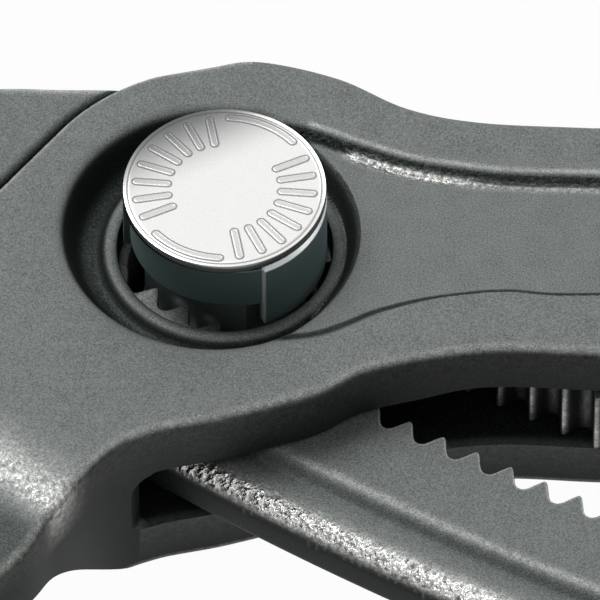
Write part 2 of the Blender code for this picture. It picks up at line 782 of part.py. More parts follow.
def toothed_bolt(parts, cutters):
    """The bolt: journal, teeth, neck and the stem that carries the button."""
    stem_top = SHAFT_BOTTOM + STEM_LENGTH
    neck = SLOT_HALF_WIDTH - NECK_CLEARANCE
    shoulder = SHAFT_BOTTOM - SEAT_GAP
    profile = [
        (0.0, stem_top),
        (STEM_RADIUS, stem_top),
        (STEM_RADIUS, shoulder),
        (neck, shoulder),
        (neck, JOURNAL_TOP),
        (BOLT_RADIUS, JOURNAL_TOP),
        (BOLT_RADIUS, JOURNAL_BOTTOM),
        (POCKET_RADIUS, JOURNAL_BOTTOM),
        (POCKET_RADIUS, POCKET_TOP),
        (0.0, POCKET_TOP),
    ]
    bolt = turned("toothed_bolt", profile, parts)
    outline = toothed_outline(0, BOLT_RADIUS - TOOTH_RELIEF, SEAT_GAP)
    middle = (JOURNAL_TOP + JOURNAL_BOTTOM) / 2
    teeth = prism("bolt_teeth", outline, middle, BOLT_TEETH_TOP, cutters)
    combine(bolt, teeth, "UNION")
    cut(bolt, turned("bolt_pocket", profile_of_pocket(), cutters))
    paint(bolt, "blackened steel, bolt", (0.05, 0.07, 0.07), 0.4, 0.8)
    return bolt


def profile_of_pocket():
    """The spring's pocket, cut once more through the teeth."""
    return [
        (0.0, POCKET_TOP),
        (POCKET_RADIUS, POCKET_TOP),
        (POCKET_RADIUS, JOURNAL_BOTTOM - CUT_OVERRUN),
        (0.0, JOURNAL_BOTTOM - CUT_OVERRUN),
    ]


def button_body(parts, cutters):
    """The dark shaft under the cap, with its raised land on the handle side."""
    socket_floor = CAP_BOTTOM - SPIGOT_LENGTH - SEAT_GAP
    stem_hole_top = SHAFT_BOTTOM + STEM_LENGTH + SEAT_GAP
    profile = [
        (0.0, socket_floor),
        (SPIGOT_RADIUS + SEAT_GAP, socket_floor),
        (SPIGOT_RADIUS + SEAT_GAP, BODY_TOP),
        (SHAFT_RADIUS, BODY_TOP),
        (SHAFT_RADIUS, SHAFT_BOTTOM),
        (STEM_RADIUS + SEAT_GAP, SHAFT_BOTTOM),
        (STEM_RADIUS + SEAT_GAP, stem_hole_top),
        (0.0, stem_hole_top),
    ]
    body = turned("button_body", profile, parts)
    inside = LAND_RADIUS - LAND_WALL
    land_profile = [
        (inside, BODY_TOP - LAND_CHAMFER / 2),
        (LAND_RADIUS - LAND_CHAMFER, BODY_TOP - LAND_CHAMFER / 2),
        (LAND_RADIUS, BODY_TOP - 1.5 * LAND_CHAMFER),
        (LAND_RADIUS, LAND_BOTTOM),
        (inside, LAND_BOTTOM),
    ]
    land = turned("button_land", land_profile, cutters, closed=True)
    last = LAND_START + LAND_SWEEP
    sector = [ORIGIN, *arc(ORIGIN, 2 * LAND_RADIUS, LAND_START, last)]
    wedge = prism("land_sector", sector, LAND_BOTTOM - CUT_OVERRUN, CAP_TOP, cutters)
    combine(land, wedge, "INTERSECT")
    combine(body, land, "UNION")
    paint(body, "blackened steel, button", (0.04, 0.06, 0.06), 0.35, 0.8)
    return body


def button_cap(parts):
    """The bright cap that is pressed."""
    bevel = 0.0002
    profile = [
        (0.0, CAP_TOP),
        (CAP_RADIUS - bevel, CAP_TOP),
        (CAP_RADIUS, CAP_TOP - bevel),
        (CAP_RADIUS, CAP_BOTTOM),
        (SPIGOT_RADIUS, CAP_BOTTOM),
        (SPIGOT_RADIUS, CAP_BOTTOM - SPIGOT_LENGTH),
        (0.0, CAP_BOTTOM - SPIGOT_LENGTH),
    ]
    cap = turned("button_cap", profile, parts)
    paint(cap, "nickel plated steel", (0.80, 0.81, 0.80), 0.22, 1.0)
    return cap


def return_spring(parts):
    """The coil spring that pushes the button out."""
    start = SPRING_BOTTOM + SPRING_WIRE
    rise = SPRING_TOP - SPRING_WIRE - start
    curve = bpy.data.curves.new("return_spring", "CURVE")
    curve.dimensions = "3D"
    curve.bevel_depth = SPRING_WIRE
    curve.bevel_resolution = 2
    curve.use_fill_caps = True
    spline = curve.splines.new("POLY")
    count = SPRING_TURNS * POINTS_PER_TURN
    spline.points.add(count)
    for i, point in enumerate(spline.points):
        angle = 2 * math.pi * i / POINTS_PER_TURN
        x = SPRING_RADIUS * math.cos(angle)
        y = SPRING_RADIUS * math.sin(angle)
        point.co = (x, y, start + rise * i / count, 1.0)
    spring = bpy.data.objects.new("return_spring", curve)
    parts.objects.link(spring)
    paint(spring, "spring steel", (0.45, 0.46, 0.47), 0.3, 1.0)
    return spring


def spring_washer(parts):
    """The washer that the spring turns on."""
    inside = GUIDE_POST_RADIUS + SEAT_GAP
    profile = [
        (inside, WASHER_TOP),
        (WASHER_RADIUS, WASHER_TOP),
        (WASHER_RADIUS, WASHER_BOTTOM),
        (inside, WASHER_BOTTOM),
    ]
    washer = turned("spring_washer", profile, parts, closed=True)
    paint(washer, "spring steel, washer", (0.45, 0.46, 0.47), 0.35, 1.0)
    return washer


def rear_cap(parts):
    """The cap pressed into the back cheek, with the post that guides the spring."""
    profile = [
        (0.0, REAR_CAP_TOP + GUIDE_POST_HEIGHT),
        (GUIDE_POST_RADIUS, REAR_CAP_TOP + GUIDE_POST_HEIGHT),
        (GUIDE_POST_RADIUS, REAR_CAP_TOP),
        (REAR_CAP_RADIUS, REAR_CAP_TOP),
        (REAR_CAP_RADIUS, 0.0),
        (0.0, 0.0),
    ]
    cap = turned("rear_cap", profile, parts)
    paint(cap, "steel, rear cap", (0.35, 0.36, 0.36), 0.4, 1.0)
    return cap


# ---------------------------------------------------------------- grips


def stretch_of(spine, start, end):
    """The part of a handle's middle line between two distances along X."""

    def place_at(x):
        before = [point for point in spine if point.x <= x][-1]
        after = next(point for point in spine if point.x > x)
        return before.lerp(after, (x - before.x) / (after.x - before.x))

    return [place_at(start), *(p for p in spine if start < p.x < end), place_at(end)]


def sleeve_outline(stretch, half_width, lead):
    """A strip round the end of a handle, with its open end moved back by a lead."""
    ahead = (stretch[0] - stretch[1]).normalized()
    beyond = (stretch[-1] - stretch[-2]).normalized() * SEAT_GAP
    line = [stretch[0] + lead * ahead, *stretch]
    widths = [half_width] * len(line)
    tip = round_tip([*stretch, stretch[-1] + beyond], half_width)
    return strip_edge(line, widths, 1) + tip + strip_edge(line, widths, -1)[::-1]


def inlay_block(name, stretch, side, gap, half_height, collection):
    """The inlay in a grip's side, or with a gap the pocket that it lies in."""
    outside = GRIP_HALF_WIDTH + INLAY_PROUD + gap
    inside = GRIP_HALF_WIDTH - INLAY_DEPTH - gap
    ahead = (stretch[0] - stretch[1]).normalized() * gap
    beyond = (stretch[-1] - stretch[-2]).normalized() * gap
    line = [stretch[0] + ahead, *stretch[1:-1], stretch[-1] + beyond]
    outline = strip_edge(line, [outside] * len(line), side)
    outline += strip_edge(line, [inside] * len(line), side)[::-1]
    height = half_height + gap
    return prism(name, outline, MID_PLANE - height, MID_PLANE + height, collection)


def handle_grip(name, spine, end, side, parts, cutters):
    """A moulded sleeve over the end of a handle, with a soft inlay in its outward side."""
    start = end - GRIP_LENGTH
    stretch = [*stretch_of(spine, start, end - SEAT_GAP), spine[-1]]
    outline = sleeve_outline(stretch, GRIP_HALF_WIDTH, 0.0)
    grip = prism(name, outline, 0.0, LEG_TOP, parts)
    round_rims(grip, GRIP_ROUND, 3)
    thick = HANDLE_THICKNESS / 2 + SEAT_GAP
    core = sleeve_outline(stretch, HANDLE_HALF_WIDTH + SEAT_GAP, CUT_OVERRUN)
    cut(grip, prism(f"{name}_core", core, MID_PLANE - thick, MID_PLANE + thick, cutters))
    padded = stretch_of(spine, start + INLAY_MARGIN, end - INLAY_MARGIN)
    pocket = f"{name}_pocket"
    cut(grip, inlay_block(pocket, padded, side, SEAT_GAP, INLAY_HALF_HEIGHT, cutters))
    inlay = inlay_block(f"{name}_inlay", padded, side, 0.0, INLAY_HALF_HEIGHT, parts)
    round_rims(inlay, INLAY_ROUND)
    paint(grip, f"moulded plastic, {name}", (0.50, 0.03, 0.03), 0.45, 0.0)
    paint(inlay, f"soft plastic, {name}", (0.03, 0.03, 0.035), 0.7, 0.0)
    return grip, inlay


# ---------------------------------------------------------------- joints


def axis_empty(name, place, parent, parts):
    """An empty on a joint's axis, which the joint's moving pieces hang on."""
    empty = bpy.data.objects.new(name, None)
    parts.objects.link(empty)
    empty.location = place
    hang(empty, parent)
    return empty


def hang(shape, parent):
    """Parents an object and keeps its place in the world."""
    bpy.context.view_layer.update()
    shape.parent = parent
    if parent:
        shape.matrix_parent_inverse = parent.matrix_world.inverted()


def smooth_shaded(shape):
    if shape.type == "MESH":
        shape.data.shade_smooth()
        shape.data.set_sharp_from_angle(angle=SHARP_ANGLE)


def build():
    """Models every sub-part in a fresh scene and hangs each on its joint."""
    clear_scene()
    parts = new_collection(COLLECTION)
    cutters = new_collection("cutters")
    outer_grip = handle_grip("outer_grip", outer_spine(), OUTER_HANDLE_END, 1, parts, cutters)
    inner_grip = handle_grip("inner_grip", inner_spine(), INNER_HANDLE_END, -1, parts, cutters)
    fixed = [outer_leg(parts, cutters), rear_cap(parts), *outer_grip]
    carried = [spring_washer(parts), return_spring(parts)]
    pressed = [toothed_bolt(parts, cutters), button_body(parts, cutters), button_cap(parts)]
    adjusted = [inner_leg(parts, cutters), *inner_grip]
    pivot = axis_empty("handle_pivot", (0.0, 0.0, MID_PLANE), None, parts)
    button = axis_empty("button_press", (0.0, 0.0, CAP_TOP), pivot, parts)
    adjuster = axis_empty("slot_adjust", (*SLOT_CENTRE, MID_PLANE), pivot, parts)
    for parent, shapes in ((pivot, carried), (button, pressed), (adjuster, adjusted)):
        for shape in shapes:
            hang(shape, parent)
    for shape in fixed + carried + pressed + adjusted:
        smooth_shaded(shape)


build()
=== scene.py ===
"""Tongue and groove pliers with a push button, dressed as a forged hand tool.

The legs are built in plan: each is a set of flat slabs that share one triangulation, with a
height for every point, so that forged edges, the button's recess and the handle's panel are
one smooth skin. Sizes are in millimetres here and are made metres when a mesh is written.
"""

from __future__ import annotations

import logging  # noqa: E402
import math  # noqa: E402
from dataclasses import dataclass, field  # noqa: E402
from enum import Enum  # noqa: E402
from typing import Callable  # noqa: E402

import bmesh  # noqa: E402
import bpy  # noqa: E402
import numpy as np  # noqa: E402
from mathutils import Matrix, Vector  # noqa: E402
from mathutils.geometry import delaunay_2d_cdt  # noqa: E402


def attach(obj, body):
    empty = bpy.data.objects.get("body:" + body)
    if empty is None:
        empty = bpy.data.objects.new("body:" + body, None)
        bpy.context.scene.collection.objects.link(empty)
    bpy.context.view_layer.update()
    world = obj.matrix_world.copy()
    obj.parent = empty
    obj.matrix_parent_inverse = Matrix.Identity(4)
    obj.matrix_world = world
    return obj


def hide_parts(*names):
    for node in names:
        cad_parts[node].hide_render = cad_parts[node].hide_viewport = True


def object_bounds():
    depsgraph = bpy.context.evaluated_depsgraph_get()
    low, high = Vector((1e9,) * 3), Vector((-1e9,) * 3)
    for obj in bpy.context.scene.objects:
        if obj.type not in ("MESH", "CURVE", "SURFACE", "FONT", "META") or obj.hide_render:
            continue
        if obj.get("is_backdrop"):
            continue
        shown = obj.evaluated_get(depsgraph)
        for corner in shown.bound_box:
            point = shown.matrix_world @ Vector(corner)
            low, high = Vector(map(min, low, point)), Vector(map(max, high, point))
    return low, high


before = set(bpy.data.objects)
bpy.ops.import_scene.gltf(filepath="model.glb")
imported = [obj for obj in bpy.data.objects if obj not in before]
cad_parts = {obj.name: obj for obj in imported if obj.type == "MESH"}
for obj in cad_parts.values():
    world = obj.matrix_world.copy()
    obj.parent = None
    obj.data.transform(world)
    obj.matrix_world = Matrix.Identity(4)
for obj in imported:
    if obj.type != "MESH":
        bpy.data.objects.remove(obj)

LOG = logging.getLogger("pliers")
MM = 0.001
DISTANCE_BLOCK = 1500  # points measured at a time, to spare memory
SAME_POINT = 1e-4
LEAST_AREA = 1e-7
Array = np.ndarray


# ------------------------------------------------------------------ plan geometry


def turn_to(angle: float) -> Array:
    """Returns the unit vector at an angle in radians."""
    return np.array([math.cos(angle), math.sin(angle)])


def arc(centre: Array, radius: float, first: float, last: float, step: float = 2.5) -> Array:
    """Points on a circle from one angle to another.

    Args:
        centre: Middle of the circle.
        radius: Radius of the circle.
        first: Angle of the first point, in radians.
        last: Angle of the last point, in radians.
        step: Largest turn between two points, in degrees.

    Returns:
        The points, ends included.
    """
    count = max(2, math.ceil(abs(last - first) / math.radians(step)) + 1)
    angles = np.linspace(first, last, count)
    return np.asarray(centre) + radius * np.c_[np.cos(angles), np.sin(angles)]


def circle(radius: float, step: float = 2.5, centre: Array | tuple = (0, 0)) -> Array:
    """Points round a whole circle, each of them once."""
    return arc(centre, radius, 0, 2 * math.pi, step)[:-1]


def smooth(points: list | Array, steps: int = 12) -> Array:
    """A smooth curve through points.

    Args:
        points: Points that the curve passes through.
        steps: Pieces between two of them.

    Returns:
        The curve's points.
    """
    base = np.asarray(points, float)
    ends = np.vstack([2 * base[0] - base[1], base, 2 * base[-1] - base[-2]])
    result = [base[:1]]
    t = (np.arange(1, steps + 1) / steps)[:, None]
    for before, start, end, after in zip(ends, ends[1:], ends[2:], ends[3:]):
        result.append(
            0.5
            * (
                2 * start
                + (end - before) * t
                + (2 * before - 5 * start + 4 * end - after) * t**2
                + (3 * start - before - 3 * end + after) * t**3
            )
        )
    return np.vstack(result)


def normals_of(line: Array, closed: bool = False) -> Array:
    """The unit vectors to the left of a line at each of its points.

    Args:
        line: Points of the line.
        closed: Whether the last point joins the first.

    Returns:
        One unit vector for each point.
    """
    if closed:
        ahead = np.roll(line, -1, 0) - np.roll(line, 1, 0)
    else:
        ahead = np.gradient(line, axis=0)
    ahead /= np.maximum(np.linalg.norm(ahead, axis=1), 1e-9)[:, None]
    return np.c_[-ahead[:, 1], ahead[:, 0]]


def strip_edge(spine: Array, half_widths: Array | float, side: int) -> Array:
    """One edge of a strip along a spine; side is 1 for its left edge and -1 for its right."""
    widths = np.broadcast_to(half_widths, len(spine))[:, None]
    return spine + side * widths * normals_of(spine)


def filled_in(line: Array, spacing: Callable[[Array], Array], closed: bool = True) -> Array:
    """Adds points to a line so that none of its pieces is longer than wanted there.

    Args:
        line: Points of the line.
        spacing: Gives the wanted spacing at points in plan.
        closed: Whether the last point joins the first.

    Returns:
        The line with all its own points and the new ones.
    """
    ends = np.roll(line, -1, 0) if closed else line[1:]
    starts = line if closed else line[:-1]
    wanted = spacing((starts + ends) / 2)
    result = []
    for start, end, gap in zip(starts, ends, wanted):
        count = max(1, math.ceil(float(np.linalg.norm(end - start)) / float(gap)))
        result.append(start + (end - start) * (np.arange(count) / count)[:, None])
    if not closed:
        result.append(line[-1:])
    return np.vstack(result)


def evenly(gap: float) -> Callable[[Array], Array]:
    """A spacing for filled_in that is the same everywhere."""
    return lambda points: np.full(len(points), gap)


def without_crowding(line: Array, least: float) -> Array:
    """A closed line without the points that crowd the one before.

    Args:
        line: Points of the line.
        least: Least distance between two points.

    Returns:
        The points that are kept.
    """
    kept = [line[0]]
    for point in line[1:]:
        if np.linalg.norm(point - kept[-1]) >= least:
            kept.append(point)
    if np.linalg.norm(kept[0] - kept[-1]) < least:
        kept.pop()
    return np.array(kept)


def rounded(line: Array, rounds: int = 2, cut: float = 0.2) -> Array:
    """A closed line with its corners cut off.

    Args:
        line: Points of the line.
        rounds: How often the corners are cut.
        cut: Share of each side that a cut takes from either end.

    Returns:
        The points of the rounder line.
    """
    keep = 1 - cut
    for _ in range(rounds):
        after = np.roll(line, -1, 0)
        line = np.stack([keep * line + cut * after, cut * line + keep * after], 1).reshape(-1, 2)
    return line


def inside(points: Array, loop: Array) -> Array:
    """Whether each point lies inside a closed line.

    Args:
        points: Points in plan.
        loop: Points of the closed line.

    Returns:
        True for each point inside.
    """
    x, y = points[:, 0], points[:, 1]
    result = np.zeros(len(points), bool)
    for (x0, y0), (x1, y1) in zip(loop, np.roll(loop, -1, 0)):
        if y0 != y1:
            result ^= ((y0 > y) != (y1 > y)) & (x < (x1 - x0) * (y - y0) / (y1 - y0) + x0)
    return result


def distance_to(points: Array, line: Array, closed: bool = True) -> Array:
    """How far each point is from a line.

    Args:
        points: Points in plan.
        line: Points of the line.
        closed: Whether the last point of the line joins the first.

    Returns:
        One distance for each point.
    """
    ends = np.roll(line, -1, 0) if closed else line[1:]
    starts = line if closed else line[:-1]
    along = ends - starts
    length2 = np.maximum((along**2).sum(1), 1e-12)
    result = np.empty(len(points))
    for first in range(0, len(points), DISTANCE_BLOCK):
        block = points[first : first + DISTANCE_BLOCK, None] - starts
        share = np.clip((block * along).sum(2) / length2, 0, 1)
        gap = block - share[..., None] * along
        result[first : first + DISTANCE_BLOCK] = np.sqrt((gap**2).sum(2).min(1))
    return result


def eased(value: Array | float, low: float, high: float) -> Array:
    """A soft step from 0 at low to 1 at high."""
    t = np.clip((np.asarray(value) - low) / (high - low), 0, 1)
    return t * t * (3 - 2 * t)


def soft_least(first: Array, second: Array, reach: float) -> Array:
    """The lesser of two heights, blended where they are closer than reach."""
    h = np.clip(0.5 + 0.5 * (second - first) / reach, 0, 1)
    return second * (1 - h) + first * h - reach * h * (1 - h)


def fillet(distance: Array, radius: Array | float) -> Array:
    """How far a rounded edge has dropped at a distance in from the wall."""
    short = np.clip(radius - distance, 0, None)
    return radius - np.sqrt(np.maximum(np.square(radius) - short**2, 0))


@dataclass(frozen=True)
class Band:
    """A soft band: strongest where a value is at its middle, and gone on both sides."""

    middle: float | Array
    spread: float | Array
    strength: float = 1.0
    power: int = 2

    def at(self, value: Array | float) -> Array:
        """The band's strength at each value."""
        return self.strength * np.exp(-(((value - self.middle) / self.spread) ** self.power))


@dataclass(frozen=True)
class Ramp:
    """A soft step from 0 at one value to 1 at another."""

    low: float
    high: float

    def at(self, value: Array | float) -> Array:
        """How far the step has risen at each value."""
        return eased(value, self.low, self.high)


# ------------------------------------------------------------------ sizes shared by the pieces


# A tooth of the jaws, from its far side on: (share of the pitch, share of the depth).
GRIP_TOOTH = ((0.86, 0.1), (0.62, 0.9), (0.5, 1.0), (0.38, 0.9), (0.14, 0.1))
GRIP_NOSE = 0.8  # bare length at the jaw's tip


@dataclass(frozen=True)
class JointSizes:
    """Sizes of the box joint that more than one piece is drawn from, in millimetres."""

    gap: float = 0.3
    back_cheek: float = 4.5
    web_bottom: float = 4.8
    web_top: float = 10.4
    window_top: float = 10.7
    leg_top: float = 15.6
    slot_angle: float = math.radians(-36)
    slot_radius: float = 210.0
    slot_half: float = 4.1
    pitch: float = 2.69
    tooth_depth: float = 1.4
    tooth_land: float = 0.15
    tooth_root: float = 0.35
    first_notch: float = -1.65
    notches: int = 12
    opening: float = math.radians(15)
    bolt_radius: float = 6.2
    hole_radius: float = 7.7
    jaw_angle: float = math.radians(232)
    jaw_length: float = 53.5
    jaw_root: float = 17.6
    jaw_tip: float = 10.0
    grip_level: float = 13.2
    hollow_start: float = 19.2
    hollow_end: float = 38.5
    hollow_depth: float = 3.6
    grip_pitch: float = 2.1
    grip_depth: float = 0.8
    cheek_radius: float = 15.0
    web_above: float = 12.5
    web_below: float = 15.9
    clearance: float = 0.4
    handle_half: float = 5.8
    handle_thick: float = 7.0

    @property
    def middle(self) -> float:
        """Height of the middle plane."""
        return self.leg_top / 2

    @property
    def travel(self) -> float:
        """Length of the slot's travel."""
        return self.notches * self.pitch

    @property
    def slot_centre(self) -> Array:
        """Middle of the arc that the slot follows."""
        return self.slot_radius * turn_to(self.slot_angle + math.pi / 2)

    def slot(self, along: float, above: float) -> Array:
        """A point along the slot's arc from the pivot and above its middle line."""
        angle = self.slot_angle - math.pi / 2 + along / self.slot_radius
        return self.slot_centre + (self.slot_radius - above) * turn_to(angle)

    def slot_line(self, first: float, last: float, above: float, count: int) -> Array:
        """Points along the slot's arc at one distance above its middle line."""
        return np.array([self.slot(s, above) for s in np.linspace(first, last, count)])

    def above_slot(self, points: Array) -> Array:
        """How far points lie above the slot's middle line."""
        return self.slot_radius - np.linalg.norm(points - self.slot_centre, axis=1)

    def along_slot(self, points: Array) -> Array:
        """How far along the slot's arc points lie.

        Args:
            points: Points in plan.

        Returns:
            One distance from the pivot for each point.
        """
        away = points - self.slot_centre
        angle = np.arctan2(away[:, 1], away[:, 0]) - (self.slot_angle - math.pi / 2)
        return angle * self.slot_radius

    def jaw(self, along: float, across: float) -> Array:
        """A point along the jaws and across them."""
        ahead = turn_to(self.jaw_angle)
        return along * ahead + across * np.array([ahead[1], -ahead[0]])

    def jaw_coordinates(self, points: Array) -> tuple[Array, Array]:
        """How far along the jaws and across them points lie."""
        ahead = turn_to(self.jaw_angle)
        return points @ ahead, points @ np.array([ahead[1], -ahead[0]])

    def tooth_row(self, side: int, first: float, count: int, corners: tuple) -> list[Array]:
        """A row of teeth beside the slot's middle line.

        Args:
            side: 1 above the middle line and -1 below it.
            first: Where the first tooth lies along the slot.
            count: Number of teeth.
            corners: Each corner of a tooth, as (along, off the middle line).

        Returns:
            The corners of all the teeth.
        """
        return [
            self.slot(first + i * self.pitch + step, side * reach)
            for i in range(count)
            for step, reach in corners
        ]

    def round_end(self, far: float, way: int, radius: float, half: float) -> list[Array]:
        """A round end that joins two rows of teeth.

        Args:
            far: Middle of the round, along the slot.
            way: 1 for the handle's end and -1 for the jaws' end.
            radius: Radius of the round.
            half: Distance of the rows from the middle line.

        Returns:
            The end's points.
        """
        turn = math.asin(half / radius)
        return [
            self.slot(far + way * radius * math.cos(a), way * radius * math.sin(a))
            for a in np.linspace(-turn, turn, 13)
        ]

    @property
    def tooth_mouth(self) -> float:
        """Half the width of a notch where it opens into the slot."""
        slope = (self.pitch / 2 - self.tooth_land - self.tooth_root) / self.tooth_depth
        return self.tooth_root + slope * self.tooth_depth

    def hollow(self, along: float) -> float:
        """How far the pipe hollow lies behind the straight grip line.

        Args:
            along: Distance along the jaws.

        Returns:
            The hollow's depth there.
        """
        half = (self.hollow_end - self.hollow_start) / 2
        offset = along - (self.hollow_start + self.hollow_end) / 2
        if abs(offset) >= half:
            return 0.0
        radius = (half**2 + self.hollow_depth**2) / (2 * self.hollow_depth)
        return math.sqrt(radius**2 - offset**2) - (radius - self.hollow_depth)

    def toothed_grip(self, level: float, way: int, start: float) -> Array:
        """The toothed line of a jaw from its tip to its root.

        Args:
            level: Distance of the grip line across the jaws.
            way: 1 where the jaw's metal lies above the line and -1 below it.
            start: Where the line ends at the root.

        Returns:
            The line's points, with rounded teeth.
        """
        count = int((self.jaw_length - self.hollow_start) / self.grip_pitch)
        line = [self.jaw(self.jaw_length - GRIP_NOSE, level)]
        for i in reversed(range(count)):
            tooth = self.hollow_start + i * self.grip_pitch
            for share, depth in GRIP_TOOTH:
                along = tooth + share * self.grip_pitch
                back = self.hollow(along) + depth * self.grip_depth
                line.append(self.jaw(along, level + way * back))
            line.append(self.jaw(tooth, level + way * self.hollow(tooth)))
        line.append(self.jaw(start, level))
        return np.array(line)


JOINT = JointSizes()
NEAR_BOX = ((-17.0, -35.0), (29.0, 18.0))
FINE_EDGE = 0.34
COARSER_BY = 0.9
COARSE_FROM = Ramp(0.0, 25.0)
CLOSE_POINTS = 0.12
# The grids that fill an outline: (gap, where the wanted spacing is above this, and up to this).
GRIDS = ((0.42, -1.0, 0.5), (0.8, 0.5, 0.9), (1.2, 0.9, 9.0))
ROW_HEIGHT = 0.866  # of a grid of even triangles, as a share of the gap


def spacing_at(points: Array) -> Array:
    """The wanted length of a mesh edge: fine round the joint, coarse along the handles.

    Args:
        points: Points in plan.

    Returns:
        One length for each point.
    """
    low, high = np.array(NEAR_BOX[0]), np.array(NEAR_BOX[1])
    away = np.linalg.norm(np.maximum(np.maximum(low - points, points - high), 0), axis=1)
    return FINE_EDGE + COARSER_BY * COARSE_FROM.at(away)


def handle_widths(spine: Array, root: float, taper_end: float) -> Array:
    """Half widths along a handle.

    Args:
        spine: The handle's middle line.
        root: Half width at its root.
        taper_end: Where along X its taper ends.

    Returns:
        One half width for each point of the spine.
    """
    share = eased(spine[:, 0], spine[0, 0], taper_end)
    return root + (JOINT.handle_half - root) * share


def handle_tip(spine: Array, half_width: float, way: int) -> Array:
    """The round end of a handle.

    Args:
        spine: The handle's middle line.
        half_width: Half width at its end.
        way: 1 to draw it from the left side to the right, and -1 from the right.

    Returns:
        Its points, without the two where it meets the sides.
    """
    heading = spine[-1] - spine[-2]
    angle = math.atan2(heading[1], heading[0])
    quarter = way * math.pi / 2
    return arc(spine[-1], half_width, angle + quarter, angle - quarter, 8)[1:-1]


def loose_points(loop: Array, keep_off: float) -> Array:
    """Points that fill an outline, closer round the joint.

    Args:
        loop: The outline.
        keep_off: Least distance from the outline, as a share of the spacing.

    Returns:
        The points.
    """
    found = []
    low, high = loop.min(0), loop.max(0)
    for gap, first, last in GRIDS:
        xs = np.arange(low[0], high[0], gap)
        ys = np.arange(low[1], high[1], gap * ROW_HEIGHT)
        x, y = np.meshgrid(xs, ys)
        x = x + (np.arange(len(ys)) % 2)[:, None] * gap / 2
        points = np.c_[x.ravel(), y.ravel()]
        wanted = spacing_at(points)
        points = points[(wanted > first) & (wanted <= last)]
        points = points[inside(points, loop)]
        found.append(points[distance_to(points, loop) > keep_off * gap])
    return np.vstack(found)


def edge_rings(loop: Array, depths: tuple[float, ...], way: int) -> Array:
    """Points beside an outline, in rows that follow it.

    Args:
        loop: The outline.
        depths: Distance of each row from it.
        way: 1 for the left of the outline and -1 for its right.

    Returns:
        The points that no other stretch of the outline comes nearer to.
    """
    sides = normals_of(loop, closed=True)
    rows = []
    for depth in depths:
        row = loop + way * depth * sides
        rows.append(row[distance_to(row, loop) > 0.93 * depth])
    return np.vstack(rows)


# ------------------------------------------------------------------ meshes


def new_object(name: str, mesh: bpy.types.Mesh, sharp: float = 32.0) -> bpy.types.Object:
    """Makes a smooth shaded object from a mesh that is already in place.

    Args:
        name: Name of the piece.
        mesh: Its mesh, in metres.
        sharp: Faces that meet at more than this many degrees stay sharp.

    Returns:
        The new object, in the scene.
    """
    mesh.shade_smooth()
    mesh.set_sharp_from_angle(angle=math.radians(sharp))
    piece = bpy.data.objects.new(name, mesh)
    bpy.context.scene.collection.objects.link(piece)
    return piece


def mesh_from(name: str, points: Array, faces: list) -> bpy.types.Mesh:
    """Makes a mesh from points in millimetres.

    Args:
        name: Name of the mesh.
        points: Its points.
        faces: Its faces, as lists of point numbers.

    Returns:
        The mesh, in metres.
    """
    mesh = bpy.data.meshes.new(name)
    mesh.from_pydata((np.asarray(points, float) * MM).tolist(), [], faces)
    mesh.update()
    return mesh


def masks_on(mesh: bpy.types.Mesh, masks: dict[str, Array]) -> None:
    """Stores masks on a mesh's points, for its material to read.

    Args:
        mesh: The mesh.
        masks: For each mask's name, a value from 0 to 1 at each point.
    """
    for name, values in masks.items():
        layer = mesh.attributes.new(name, "FLOAT", "POINT")
        layer.data.foreach_set("value", np.clip(values, 0, 1).astype(np.float32))


